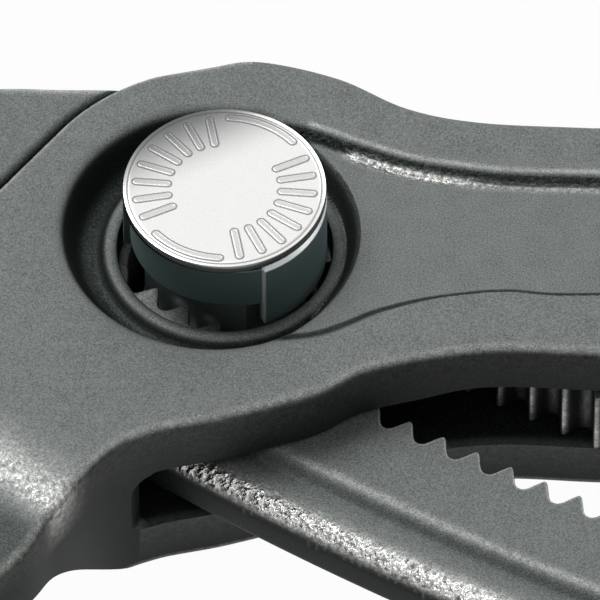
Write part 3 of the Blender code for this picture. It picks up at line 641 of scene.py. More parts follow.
@dataclass
class PlanMesh:
    """One triangulation in plan that all the levels of a forging share."""

    points: Array
    triangles: Array

    @classmethod
    def from_lines(cls, loops: list[Array], lines: list[Array], loose: Array) -> PlanMesh:
        """Triangulates outlines, lines and loose points.

        Args:
            loops: Closed lines that the triangles keep to.
            lines: Open lines that they keep to.
            loose: Other points.

        Returns:
            The triangulation of all of them.
        """
        places, edges, count = [], [], 0
        for line, closed in [(loop, True) for loop in loops] + [(line, False) for line in lines]:
            ids = np.arange(len(line)) + count
            places.append(line)
            edges += list(zip(ids[:-1].tolist(), ids[1:].tolist()))
            if closed:
                edges.append((int(ids[-1]), int(ids[0])))
            count += len(line)
        places.append(loose)
        flat = [Vector(place) for place in np.vstack(places).tolist()]
        found = delaunay_2d_cdt(flat, edges, [], 0, SAME_POINT, False)
        points = np.array([tuple(place) for place in found[0]])
        triangles = np.array([face for face in found[2] if len(face) == 3])
        corners = points[triangles]
        one, other = corners[:, 1] - corners[:, 0], corners[:, 2] - corners[:, 0]
        area = one[:, 0] * other[:, 1] - one[:, 1] * other[:, 0]
        triangles[area < 0] = triangles[area < 0][:, ::-1]
        return cls(points, triangles[np.abs(area) > LEAST_AREA])

    @property
    def middles(self) -> Array:
        """The middle of each triangle."""
        return self.points[self.triangles].mean(1)

    def solid(
        self, name: str, filled: Array, heights: list[Array], masks: dict
    ) -> bpy.types.Object:
        """Builds the closed skin of a stack of slabs.

        Args:
            name: Name of the piece.
            filled: For each triangle, whether each slab has metal there.
            heights: The levels between and outside the slabs, from the back up.
            masks: For each mask, its values at each level.

        Returns:
            The object.
        """
        kept = filled.any(1)
        triangles, filled = self.triangles[kept], filled[kept]
        size, slabs = len(self.points), filled.shape[1]
        faces: list = []
        empty = np.zeros(len(triangles), bool)
        for level in range(slabs + 1):
            below = filled[:, level - 1] if level else empty
            above = filled[:, level] if level < slabs else empty
            faces += (triangles[below & ~above] + level * size).tolist()
            faces += (triangles[above & ~below][:, ::-1] + level * size).tolist()
        faces += self._walls(triangles, filled, size)
        stack = np.stack(heights)
        points = np.c_[np.tile(self.points, (slabs + 1, 1)), stack.ravel()]
        used = np.unique(np.concatenate([np.array(face) for face in faces]))
        number = np.full(len(points), -1)
        number[used] = np.arange(len(used))
        mesh = mesh_from(name, points[used], [number[face].tolist() for face in faces])
        masks_on(mesh, {key: np.stack(value).ravel()[used] for key, value in masks.items()})
        return new_object(name, mesh)

    @staticmethod
    def _walls(triangles: Array, filled: Array, size: int) -> list:
        """The upright faces where a slab ends.

        Args:
            triangles: Triangles with metal in some slab, counter-clockwise.
            filled: Whether each slab has metal there.
            size: Number of points on each level.

        Returns:
            The faces.
        """
        starts = triangles.ravel()
        ends = np.roll(triangles, -1, 1).ravel()
        owner = np.repeat(np.arange(len(triangles)), 3)
        twin = {(a, b): t for a, b, t in zip(starts.tolist(), ends.tolist(), owner.tolist())}
        none = np.zeros(filled.shape[1], bool)
        faces = []
        for a, b, t in zip(starts.tolist(), ends.tolist(), owner.tolist()):
            other = twin.get((b, a))
            beyond = filled[other] if other is not None else none
            for slab in np.nonzero(filled[t] & ~beyond)[0].tolist():
                low, high = slab * size, (slab + 1) * size
                faces.append([a + low, b + low, b + high, a + high])
        return faces


def turned(name: str, profile: list, around: int = 128, sharp: float = 32.0) -> bpy.types.Object:
    """A solid turned about the pivot axis.

    Args:
        name: Name of the piece.
        profile: (radius, height) points, down the outer side; a radius of 0 closes an end.
        around: Number of steps round the axis.
        sharp: Faces that meet at more than this many degrees stay sharp.

    Returns:
        The object.
    """
    angles = np.arange(around) * 2 * math.pi / around
    points: list = []
    rings: list = []
    for radius, height in profile:
        if radius == 0:
            rings.append([len(points)] * around)
            points.append((0.0, 0.0, height))
            continue
        rings.append(list(range(len(points), len(points) + around)))
        points += [(radius * math.cos(a), radius * math.sin(a), height) for a in angles]
    faces = []
    for upper, lower in zip(rings, rings[1:]):
        for i in range(around):
            j = (i + 1) % around
            corners = [upper[i], lower[i], lower[j], upper[j]]
            face = list(dict.fromkeys(corners))
            if len(face) > 2:
                faces.append(face)
    return new_object(name, mesh_from(name, np.array(points), faces), sharp)


# ------------------------------------------------------------------ the outer leg


# Where rows of points follow a line, so that a small form there comes out smooth.
FILLET_ROWS = (0.03, 0.1, 0.21, 0.36, 0.55, 0.8, 1.1, 1.45)
COLLAR_ROWS = (7.8, 7.95, 8.2, 8.45, 8.6, 8.75, 8.9, 9.1, 9.3, 9.55)
RECESS_ROWS = (1.9, 1.7, 1.5, 1.3, 1.1, 0.9, 0.7, 0.5, 0.35, 0.15, 0, -0.2, -0.45, -0.7)
UPPER_ROWS = np.arange(-1.6, 1.8, 0.16)
LINE_ROWS = np.array([0.0, 0.06, 0.13, 0.21, 0.32, 0.5, 0.75])
BORDER_ROWS = np.arange(-1.8, 1.9, 0.24)
STEP_ROWS = (0.05, 0.15, 0.3, 0.5, 0.8, 1.2, 1.7)
SLOT_ROWS = (0.05, 0.12, 0.25)
WEB_ROWS = FILLET_ROWS + (1.8, 2.2, 2.7)
GRID_KEEP_OFF = 0.3


@dataclass
class OuterLeg:
    """The forged leg with the box joint, the lower jaw and the upper handle."""

    handle_top: float = 9.5
    handle_bottom: float = -11.6
    cheek_top: float = 15.7
    handle_end: float = 203.0
    taper_start: float = 36.0
    taper_end: float = 80.0
    jaw_back: float = 6.3
    jaw_back_start: float = 32.5
    recess_radius: float = 10.98
    recess_shift: float = -0.7
    collar_drop: float = 2.3
    groove_drop: float = 3.2
    panel_depth: float = 0.6
    # Into the panel from its edge: its slopes, the bead along its upper edge and the carved line.
    upper_slope: Ramp = Ramp(-0.1, 1.1)
    lower_slope: Ramp = Ramp(-0.05, 0.4)
    panel_bead: Band = Band(-0.55, 0.45, 0.1)
    line_width: float = 0.16
    line_swell: float = 0.17
    line_narrows: Ramp = Ramp(8, 17)
    line_starts: Ramp = Ramp(3.0, 4.5)
    line_depth: float = 0.18
    recess_blend: float = 0.22
    # Along the jaws: how they thin, and the bevel on their back.
    jaw_thins: Ramp = Ramp(25.4, 38.0)
    bevel_depth: float = 8.0
    bevel_width: float = 6.0
    bevel_starts: Ramp = Ramp(17.8, 29.0)
    bevel_fades: Ramp = Ramp(32, 46)
    # Edges.
    sharp_edge: float = 0.35
    handle_edge: float = 1.1
    back_edge: float = 0.9
    window_floor_edge: float = 0.9
    window_roof_edge: float = 2.0
    window_roof_rise: float = 0.5
    window_roof_rises: Ramp = Ramp(13, 18)
    mouth_away: float = 9.0
    mouth_fades: Ramp = Ramp(16.9, 18.2)
    # Where the skin is painted dark as shade or painted bright as highlights.
    dark_slope: Band = Band(0.36, 0.42, power=4)
    bright_bead: Band = Band(-0.28, 0.2)
    bright_foot: Band = Band(0.98, 0.3)
    foot_starts: Ramp = Ramp(8, 10)
    foot_fades: Ramp = Ramp(15, 20)
    ridge_spread: tuple[float, float] = (2.6, 1.15)
    beyond_starts: Ramp = Ramp(0.6, 3.0)
    beyond_fades: Ramp = Ramp(4.5, 10.0)
    collar_crest: Band = Band(8.35, 0.55)
    recess_side: Ramp = Ramp(-0.5, 0.6)
    recess_reach: float = 13.0
    seat_radius: float = 7.4
    seat_top: float = 0.9
    bore_radius: float = 6.5
    window_flare: float = 2.6
    ridge: float = 27.0
    outline: Array = field(init=False)
    window: Array = field(init=False)

    def __post_init__(self) -> None:
        """Draws the outlines."""
        self.outline = without_crowding(self._outline(), CLOSE_POINTS)
        self.window = self._window()

    def spine(self) -> Array:
        """The middle line of the handle.

        Returns:
            Its points, from the root to the end.
        """
        middle = (self.handle_top + self.handle_bottom) / 2
        bends = [(26.8, middle), (60, -0.3), (100, 0.6), (150, -1.6), (self.handle_end, -9.0)]
        return smooth(bends, 16)

    def _outline(self) -> Array:
        """The leg in plan, clockwise from the cheek edge over the pivot.

        Returns:
            The outline's points.
        """
        spine = self.spine()
        widths = handle_widths(spine, (self.handle_top - self.handle_bottom) / 2, self.taper_end)
        top, bottom = strip_edge(spine, widths, 1), strip_edge(spine, widths, -1)[::-1]
        cheek = arc((0, 0), JOINT.cheek_radius, JOINT.jaw_angle - math.pi / 2, math.radians(110))
        ht, hb, ct = self.handle_top, self.handle_bottom, self.cheek_top
        crown = [(-1.2, ct - 0.55), (2.5, ct), (8.2, ct - 1.6), (13.2, ht + 1.8), (18.5, ht + 0.5)]
        belly = [(18.6, hb + 0.3), (10.6, hb - 1.3), (6.5, hb - 3.6), (0.2, hb - 5.7)]
        belly += [(-5.0, hb - 7.0), (-8.3, hb - 8.9), (-11.8, hb - 13.7)]
        tip = JOINT.jaw_length
        belly.append(JOINT.jaw(self.jaw_back_start, -self.jaw_back))
        jaw_back = [JOINT.jaw(tip - 11.0, 3.2 - self.jaw_back), JOINT.jaw(tip - 4.0, 2.9)]
        jaw_back.append(JOINT.jaw(tip, JOINT.grip_level - 4.5))
        upper = smooth([cheek[-1], *crown, top[0]], 10)[1:-1]
        lower = smooth([bottom[-1], *belly, *jaw_back], 10)[1:]
        end = handle_tip(spine, widths[-1], 1)
        nose = [JOINT.jaw(tip, JOINT.grip_level - 1.0)]
        grip = JOINT.toothed_grip(JOINT.grip_level, -1, JOINT.hollow_start - 1.0)
        root = [JOINT.jaw(JOINT.jaw_root, JOINT.cheek_radius)]
        return np.vstack([cheek, upper, top, end, bottom, lower, nose, grip, root])

    def _window(self) -> Array:
        """The channel that the web passes through.

        Returns:
            The points of its outline.
        """
        reach = JOINT.travel + 20
        jaw_side = -(JOINT.web_below + JOINT.clearance)
        handle_side = JOINT.web_above + JOINT.clearance
        corner = JOINT.jaw(-jaw_side + self.window_flare, -self.jaw_back)
        crossing = handle_side * math.tan(JOINT.opening / 2)
        left = JOINT.slot_line(-40, -2, jaw_side, 40)
        below = [corner + (0.6, 0.9), corner + (0.0, -0.6), corner + (0.0, -30.0)]
        below.append(JOINT.slot(reach, -60))
        right = JOINT.slot_line(reach, crossing, handle_side, 60)
        turn = -JOINT.opening
        matrix = np.array([[math.cos(turn), -math.sin(turn)], [math.sin(turn), math.cos(turn)]])
        crown = JOINT.slot_line(-crossing, -25, handle_side, 20) @ matrix.T
        return np.vstack([left, below, right, crown, [(-50, 40)]])

    def panel(self) -> tuple[Array, Array]:
        """The edges of the panel pressed into the handle.

        Returns:
            The upper edge and the lower one, which runs back.
        """
        upper = smooth(
            [(2, 10.6), (6, 9.3), (9.5, 7.75), (13.4, 6.25), (17.2, 5.45), (21, 4.95),
             (26.8, 4.75), (50, 4.0), (66, 2.2)]
        )  # fmt: skip
        lower = smooth(
            [(66, -2.2), (50, -4.6), (26.8, -5.95), (20.4, -5.65), (17.2, -5.9), (14, -6.45),
             (10.8, -7.45), (8.5, -8.6), (6.6, -9.4), (4.4, -9.75), (2, -9.85)]
        )  # fmt: skip
        return upper, lower

    def recess(self, points: Array) -> Array:
        """How deep the recess round the button lies under the leg's top.

        Args:
            points: Points in plan.

        Returns:
            The depths, below 0 outside the recess.
        """
        radius = np.linalg.norm(points, axis=1)
        side = points[:, 0] / np.maximum(radius, 1e-6) * self.recess_shift
        lean = self.recess_radius**2 - self.recess_shift**2
        rim = side + np.sqrt(np.maximum(lean + side**2, 0))
        flat = eased(points[:, 0] / np.maximum(radius, 1e-6), 0.2, 0.95)
        inward = (rim - radius - 0.35 * flat) * (1 - 0.3 * flat)
        wall = np.interp(
            inward,
            (-1.2, -0.9, -0.45, 0.0, 0.35, 0.7, 1.1, 1.5, 1.9),
            (-0.6, 0.0, 0.08, 0.42, 1.15, 2.1, 2.85, 3.15, self.groove_drop),
        )
        collar = np.interp(
            radius,
            (7.7, 7.8, 8.0, 8.45, 8.7, 8.9, 9.15, 9.5),
            (self.collar_drop + 0.3, self.collar_drop + 0.08, self.collar_drop,
             self.collar_drop, self.collar_drop + 0.12, self.collar_drop + 0.45, 3.1,
             self.groove_drop),
        )  # fmt: skip
        return np.minimum(wall, collar)

    def thinning(self, points: Array) -> Array:
        """How much the jaw and the handle are thinned from each face.

        Args:
            points: Points in plan.

        Returns:
            One depth for each point.
        """
        along, _ = JOINT.jaw_coordinates(points)
        drop = (JOINT.leg_top - JOINT.jaw_tip) / 2
        jaw = drop * self.jaw_thins.at(along)
        full = (JOINT.leg_top - JOINT.handle_thick) / 2
        return jaw + full * eased(points[:, 0], self.taper_start - 2, self.taper_end + 2)

    def edge_radius(self, points: Array) -> Array:
        """Radius of the rounded edge nearest each point.

        Args:
            points: Points in plan.

        Returns:
            One radius for each point.
        """
        along, across = JOINT.jaw_coordinates(points)
        angle = np.degrees(np.arctan2(points[:, 1], points[:, 0]))
        radius = 0.75 - 0.1 * eased(points[:, 1], 0, 6)
        radius = np.where(points[:, 0] > 30, self.handle_edge, radius)
        cheek = eased(angle, 96, 110) * (points[:, 0] < 0) * (points[:, 1] > -8)
        radius = radius + (self.sharp_edge - radius) * cheek
        grip = eased(across, 7, 9) * eased(along, 15, 18)
        return radius + (self.sharp_edge - radius) * grip

    def build(self) -> bpy.types.Object:
        """Builds the leg.

        Returns:
            The object that stands for the leg's node.
        """
        outline = filled_in(self.outline, spacing_at)
        window = filled_in(self.window, spacing_at)
        circles = [circle(r) for r in (JOINT.hole_radius, self.bore_radius, self.seat_radius)]
        rows = [edge_rings(outline, FILLET_ROWS, -1)]
        shift = np.array([self.recess_shift, 0.0])
        for radius in COLLAR_ROWS:
            rows.append(circle(radius, 2.2))
        for inward in RECESS_ROWS:
            rows.append(circle(self.recess_radius - inward, 1.8, shift))
        upper, lower = self.panel()
        for line, offsets in ((upper, UPPER_ROWS), (lower, np.r_[-LINE_ROWS, LINE_ROWS])):
            line = filled_in(line, spacing_at, closed=False)
            for offset in offsets:
                rows.append(strip_edge(line, abs(offset), 1 if offset > 0 else -1))
        rows = np.vstack(rows)
        rows = rows[inside(rows, outline)]
        grid = loose_points(outline, GRID_KEEP_OFF)
        crowded = np.linalg.norm(grid, axis=1) < self.recess_reach
        loose = np.vstack([rows, grid[~crowded]])
        plan = PlanMesh.from_lines([outline, window, *circles], [], loose)
        return self._raise(plan, outline, window)

    def _raise(self, plan: PlanMesh, outline: Array, window: Array) -> bpy.types.Object:
        """Gives the plan its heights.

        Args:
            plan: Triangulation of the leg.
            outline: The leg's outline.
            window: The window's outline.

        Returns:
            The finished object.
        """
        points, middles = plan.points, plan.middles
        x, y = points[:, 0], points[:, 1]
        reach = np.linalg.norm(middles, axis=1)
        leg = inside(middles, outline)
        filled = np.c_[
            leg & (reach > self.seat_radius),
            leg & (reach > self.bore_radius),
            leg & ~inside(middles, window) & (reach > JOINT.hole_radius),
            leg & (reach > JOINT.hole_radius),
        ]
        off_edge = distance_to(points, outline)
        off_edge[~inside(points, outline)] = 0
        radius = self.edge_radius(points)
        thin = self.thinning(points)
        along, across = JOINT.jaw_coordinates(points)

        # The front: the panel with its bead and line, then the recess, then the rounded edge.
        upper, lower = self.panel()
        loop = np.vstack([upper, lower])
        into = distance_to(points, loop) * np.where(inside(points, loop), 1, -1)
        near_top = distance_to(points, upper, False) < distance_to(points, lower, False)
        slopes = (self.upper_slope.at(into), self.lower_slope.at(into))
        pressed = self.panel_depth * np.where(near_top, *slopes)
        width = self.line_width + self.line_swell * (1 - self.line_narrows.at(x))
        line = Band(-0.7 * width, width, power=4).at(into) * ~near_top * self.line_starts.at(x)
        bead = self.panel_bead.at(into) * near_top - self.line_depth * line
        face = JOINT.leg_top - self.panel_bead.strength - thin - pressed + bead
        recess = self.recess(points)
        front = soft_least(face, JOINT.leg_top - recess, self.recess_blend)
        front = np.where(recess < -0.3, face, front) - fillet(off_edge, radius)

        # The back, and the window's floor and roof.
        bevel = self.bevel_depth * self.bevel_starts.at(along)
        bevel = bevel * (1 - 0.6 * self.bevel_fades.at(along)) * (across < 5)
        back = thin + fillet(off_edge, np.minimum(radius, self.back_edge))
        back = np.maximum(back, bevel * np.clip(1 - off_edge / self.bevel_width, 0, 1))
        mouth = 1 - self.mouth_fades.at(-JOINT.above_slot(points))
        mouth = distance_to(points, window) + self.mouth_away * mouth
        floor = JOINT.back_cheek + fillet(mouth, self.window_floor_edge)
        roof = JOINT.window_top - fillet(mouth, self.window_roof_edge)
        roof = roof + self.window_roof_rise * self.window_roof_rises.at(x)
        heights = [
            back,
            np.maximum(np.full(len(points), self.seat_top), back + 0.02),
            np.maximum(floor, back + 0.04),
            roof,
            np.maximum(front, roof + 0.4),
        ]

        # Where the skin is painted bright as highlights and wear, dented, or painted dark as
        # shade.
        # Painted highlight and wear on the rounded edges.
        edge = Band(0.45 * radius, 0.35 * radius).at(off_edge)
        edge = edge * np.where((across > 8) & (along < 17), 1.5, 1 - eased(y, 0, 3))
        # Painted shade on the panel's upper slope.
        slope = self.dark_slope.at(into) * near_top * (x > 3)
        # Painted highlights on the panel's bead and at the foot of its upper slope.
        bead = self.bright_bead.at(into) * near_top * (x > 6)
        foot = self.bright_foot.at(into) * near_top
        foot = foot * self.foot_starts.at(x) * (1 - 0.75 * self.foot_fades.at(x))
        # Painted highlight along the jaw's ridge, and painted shade on the slope beyond it.
        past = along - self.ridge
        ridge = Band(0.0, np.where(past < 0, *self.ridge_spread)).at(past) * (across < 9)
        beyond = 0.8 * self.beyond_starts.at(past) * (1 - 0.8 * self.beyond_fades.at(past))
        # Painted shade in the button's recess, softer on the right and spared on the collar's
        # crest.
        reach = np.linalg.norm(points, axis=1)
        soft = 0.8 + 1.2 * self.recess_side.at(x / np.maximum(reach, 1e-6))
        recessed = 0.97 * eased((face - front - 0.2) / soft, 0, 1) * (reach < self.recess_reach)
        recessed = recessed * (off_edge > 1.2) * (1 - 0.95 * self.collar_crest.at(reach))
        none = np.zeros(len(points))
        # Painted shade on the walls inside the window and the bore, away from the outer edge.
        at_window = distance_to(points, window) < 0.03
        within = 0.95 * np.maximum(eased(off_edge, 0.2, 1.0), at_window * (off_edge > 0.1))
        # A faint brightening of the outer wall from the window's floor level, in front of the
        # cheek.
        cheek_line = 0.06 * (off_edge < 0.02) * (x > -6) * (y < 0)
        # All the painted highlights and wear of the front.
        worn = np.maximum.reduce([0.26 * edge, 0.55 * ridge, foot, 0.3 * bead])
        hammered = np.maximum.reduce([foot, 0.4 * ridge, 0.6 * slope])
        # Painted shade: the recess, the panel's slope, the slope beyond the ridge and the carved
        # line.
        deep = np.maximum.reduce([recessed, beyond, slope, line])
        masks = {
            "worn": [0.5 * edge, none, cheek_line, none, worn],
            "hammered": [none, none, none, none, hammered],
            "deep": [none, within, within, within, deep],
        }
        return plan.solid("outer_leg_forging", filled, heights, masks)


# ------------------------------------------------------------------ the inner leg


@dataclass
class InnerLeg:
    """The forged leg with the toothed slot, the upper jaw and the lower handle."""

    jaw_inset: float = 1.0
    jaw_back: float = 30.0
    border_line: float = 11.8
    border_step: float = 0.7
    border_slope: float = 0.75
    border_fades: tuple[float, float] = (22.0, 10.0)
    handle_end: float = 198.0
    handle_drop: float = 61.5
    taper_end: float = 80.0
    swell_start: float = 60.0
    lower_round: float = 1.9
    lower_back_round: float = 0.8
    upper_round: float = 0.5
    jaw_round: float = 0.8
    grip_round: float = 0.35
    slot_round: float = 0.14
    step_round: float = 0.4
    jaw_thins_from: float = 25.6
    swell_length: float = 25.0
    # Where the skin is painted dark as shade or painted bright as highlights and wear.
    bright_teeth: Band = Band(0.03, 0.09, 0.7)
    bright_tips: Band = Band(0.0, 0.2, 0.55)
    bright_roots: Band = Band(0.0, 0.25, 0.14)
    border_crest: Band = Band(0.8, 0.35, 0.25)
    border_foot: Band = Band(-0.2, 0.75, 0.7)
    dark_step: Band = Band(0.0, 0.75, 0.87, 4)
    at_slot: float = 0.02
    more_notches: int = 3
    upper_ahead: float = 0.07
    slot_start: float = -0.6

    def spine(self) -> Array:
        """The middle line of the handle.

        Returns:
            Its points, from the end of the slot to the handle's end.
        """
        start = JOINT.slot(JOINT.travel + 10, (JOINT.web_above - JOINT.web_below) / 2)
        drop = self.handle_drop
        bends = [start, (60, 28.1 - drop), (85, 19 - drop), (120, 9.5 - drop)]
        return smooth([*bends, (160, 2.5 - drop), (self.handle_end, -drop)], 16)

    def outline(self) -> Array:
        """The leg in plan, counter-clockwise from the slot's upper side.

        Returns:
            The outline's points.
        """
        spine = self.spine()
        widths = handle_widths(spine, (JOINT.web_above + JOINT.web_below) / 2, self.taper_end)
        top, bottom = strip_edge(spine, widths, 1)[::-1], strip_edge(spine, widths, -1)
        web_top = JOINT.slot_line(JOINT.travel, 0, JOINT.web_above, 30)
        first = JOINT.slot_angle + math.pi / 2
        neck = arc((0, 0), JOINT.web_above, first, math.radians(96))[1:]
        level = JOINT.grip_level + JOINT.gap
        tip = JOINT.jaw_length
        shoulder = [(-4.6, 13.1), (-7.5, 13.8), (-12.0, 13.9)]
        back = [
            JOINT.jaw(along, self.jaw_back - behind)
            for along, behind in (
                (-1.2, 8.8), (3.0, 4.0), (9.5, 0.6), (19, 0), (31, 2.6), (42, 7.5)
            )  # fmt: skip
        ]
        back += [JOINT.jaw(tip - 3.5, level + 4.8), JOINT.jaw(tip + 0.3, level + 1.3)]
        jaw = smooth([neck[-1], *shoulder, *back], 10)[1:]
        grip = JOINT.toothed_grip(level, 1, JOINT.hollow_start - 1.0)
        foot = [JOINT.jaw(JOINT.jaw_root + 0.4, JOINT.cheek_radius + JOINT.clearance)]
        web_side = JOINT.slot_line(-14.5, JOINT.travel, -JOINT.web_below, 40)
        end = handle_tip(spine, widths[-1], -1)
        return np.vstack([web_top, neck, jaw, grip, foot, web_side, bottom, end, top])

    def slot(self) -> Array:
        """The toothed slot, counter-clockwise, with its teeth rounded as they are broached.

        Returns:
            The slot's points.
        """
        half, root, mouth = JOINT.slot_half, JOINT.tooth_root, JOINT.tooth_mouth
        deep = half + JOINT.tooth_depth
        corners = ((-mouth, half), (-root, deep), (root, deep), (mouth, half))
        count = JOINT.notches + self.more_notches
        lower, upper = (
            JOINT.tooth_row(side, JOINT.first_notch - ahead * JOINT.pitch, count, corners)
            for side, ahead in ((-1, 1), (1, self.upper_ahead))
        )
        radius = JOINT.bolt_radius + JOINT.gap
        jaw_end = JOINT.round_end(self.slot_start, -1, radius, half)
        handle_end = JOINT.round_end(JOINT.travel, 1, radius, half)
        loop = np.array(jaw_end + lower + handle_end + upper[::-1])
        return without_crowding(rounded(loop, 3), 0.05)

    def web(self) -> Array:
        """The part that is thinned to pass through the window.

        Returns:
            The points of its outline.
        """
        edge = JOINT.cheek_radius + JOINT.clearance
        turn = turn_to(math.radians(-29))
        side = np.array([-turn[1], turn[0]])
        start = [JOINT.jaw(JOINT.jaw_root + 0.4, -50), JOINT.jaw(JOINT.jaw_root + 0.4, edge)]
        cheek = arc((0, 0), edge, JOINT.jaw_angle - math.pi / 2, math.radians(60), 2)
        return np.vstack([start, cheek, [250 * turn + 90 * side, 250 * turn - 90 * side]])

    def build(self) -> bpy.types.Object:
        """Builds the leg.

        Returns:
            The object that stands for the leg's node.
        """
        outline = filled_in(without_crowding(self.outline(), CLOSE_POINTS), spacing_at)
        slot = filled_in(self.slot(), evenly(0.3))
        web = self.web()
        border = filled_in(web[1:-2], evenly(0.4), closed=False)
        rows = [edge_rings(outline, WEB_ROWS, 1), edge_rings(slot, SLOT_ROWS, -1)]
        for offset in BORDER_ROWS:
            rows.append(JOINT.slot_line(-12, JOINT.travel + 20, -self.border_line + offset, 150))
        for offset in STEP_ROWS:
            rows.append(strip_edge(border, offset, 1))
        rows = np.vstack(rows)
        rows = rows[inside(rows, outline) & ~inside(rows, slot)]
        grid = loose_points(outline, GRID_KEEP_OFF)
        grid = grid[~inside(grid, slot) & (distance_to(grid, slot) > GRID_KEEP_OFF)]
        plan = PlanMesh.from_lines([outline, slot], [border], np.vstack([rows, grid]))
        return self._raise(plan, outline, slot, web, border)

    def _raise(
        self, plan: PlanMesh, outline: Array, slot: Array, web: Array, border: Array
    ) -> bpy.types.Object:
        """Gives the plan its heights.

        Args:
            plan: Triangulation of the leg.
            outline: The leg's outline.
            slot: The slot's outline.
            web: The thinned part's outline.
            border: The step between the jaw and the web.

        Returns:
            The finished object.
        """
        points, middles = plan.points, plan.middles
        leg = inside(middles, outline) & ~inside(middles, slot)
        thin = inside(middles, web)
        filled = np.c_[leg & ~thin, leg, leg & ~thin]
        off_edge = distance_to(points, outline)
        off_edge[~inside(points, outline)] = 0
        off_slot = distance_to(points, slot)
        off_step = distance_to(points, border, False)
        above = JOINT.above_slot(points)
        along_slot = JOINT.along_slot(points)
        along, across = JOINT.jaw_coordinates(points)
        lower = (above < -6) & (along_slot > -18)
        radius = np.where(lower, self.lower_round, self.jaw_round)
        gripping = eased(along, 15, 18) * (across < 20) * (along_slot < 0)
        radius = radius + (self.grip_round - radius) * gripping

        # The web: it swells into the handle, and its lower border stands proud.
        swell = (JOINT.handle_thick - (JOINT.web_top - JOINT.web_bottom)) / 2
        swell = swell * eased(points[:, 0], self.swell_start, self.swell_start + self.swell_length)
        fade = eased(along_slot, *(JOINT.travel + past for past in self.border_fades))
        line, half = self.border_line, self.border_slope
        step = self.border_step * eased(-above, line - half, line + half)
        step = step * np.where(lower, fade, 0)
        edges = fillet(off_edge, np.where(lower, radius, self.upper_round))
        edges = edges + fillet(off_slot, self.slot_round)
        web_front = JOINT.web_top + swell - step - edges
        edges = fillet(off_edge, np.where(lower, self.lower_back_round, self.upper_round))
        web_back = JOINT.web_bottom - swell + step + edges

        # The jaw, which thins towards its tip.
        start = self.jaw_thins_from
        share = np.clip((along - start) / (JOINT.jaw_length - start), 0, 1)
        drop = (JOINT.leg_top - 2 * self.jaw_inset - JOINT.jaw_tip) / 2 * share
        jaw_edges = fillet(off_edge, radius) + fillet(off_step, self.step_round)
        jaw_front = JOINT.leg_top - self.jaw_inset - drop - jaw_edges
        jaw_back = self.jaw_inset + drop + jaw_edges
        heights = [jaw_back, web_back, web_front, jaw_front]

        # Where the skin is painted bright as highlights and wear, dented, or painted dark as
        # shade.
        # Painted highlight and wear on the rounded edges.
        edge = Band(0.4 * radius, 0.45 * radius).at(off_edge)
        at_slot = off_slot < self.at_slot
        # Painted highlights on the slot's tooth tips and faint painted light on their roots.
        tips = self.bright_tips.at(np.abs(above) - JOINT.slot_half) * at_slot
        root = JOINT.slot_half + JOINT.tooth_depth
        tips = tips + self.bright_roots.at(above - root) * at_slot
        # Painted shade on the upper row's tooth walls, but not at the tips and roots.
        shaded = 0.9 * at_slot * (above > 0) * (1 - np.minimum(2 * tips, 1))
        # Painted light on the web inside the button's hole, which lies in shade, and painted
        # highlights and wear along the slot's edge.
        lit_in_hole = np.linalg.norm(points, axis=1) < JOINT.hole_radius
        teeth = np.maximum(self.bright_teeth.at(off_slot), 0.3 * lit_in_hole)
        teeth = np.where((above > 0) & at_slot, tips, teeth)
        # Painted highlights on the border's crest and on its hammered edge.
        crest = self.border_crest.at(above + self.border_line) * lower
        hammered = edge * lower * eased(off_edge, 0.05, 0.35)
        none = np.zeros(len(points))
        web_wear_and_highlight = np.maximum.reduce([0.35 * edge * ~lower, teeth, crest, 1.1 * hammered])
        jaw_wear_and_highlight = 0.5 * edge * (off_step > 0.6)
        # Painted shade at the border's foot and on the upper row's tooth walls.
        sunk = np.maximum(self.border_foot.at(above + self.border_line) * lower, shaded)
        masks = {
            "worn": [jaw_wear_and_highlight, tips, web_wear_and_highlight, jaw_wear_and_highlight],
            "hammered": [none, hammered, hammered, none],
            # Painted shadow along the jaw's step, and the jaw's front a little darker all over.
            "deep": [none, sunk, sunk, 0.13 + self.dark_step.at(off_step)],
        }
        return plan.solid("inner_leg_forging", filled, heights, masks)


# ------------------------------------------------------------------ button, bolt and spring


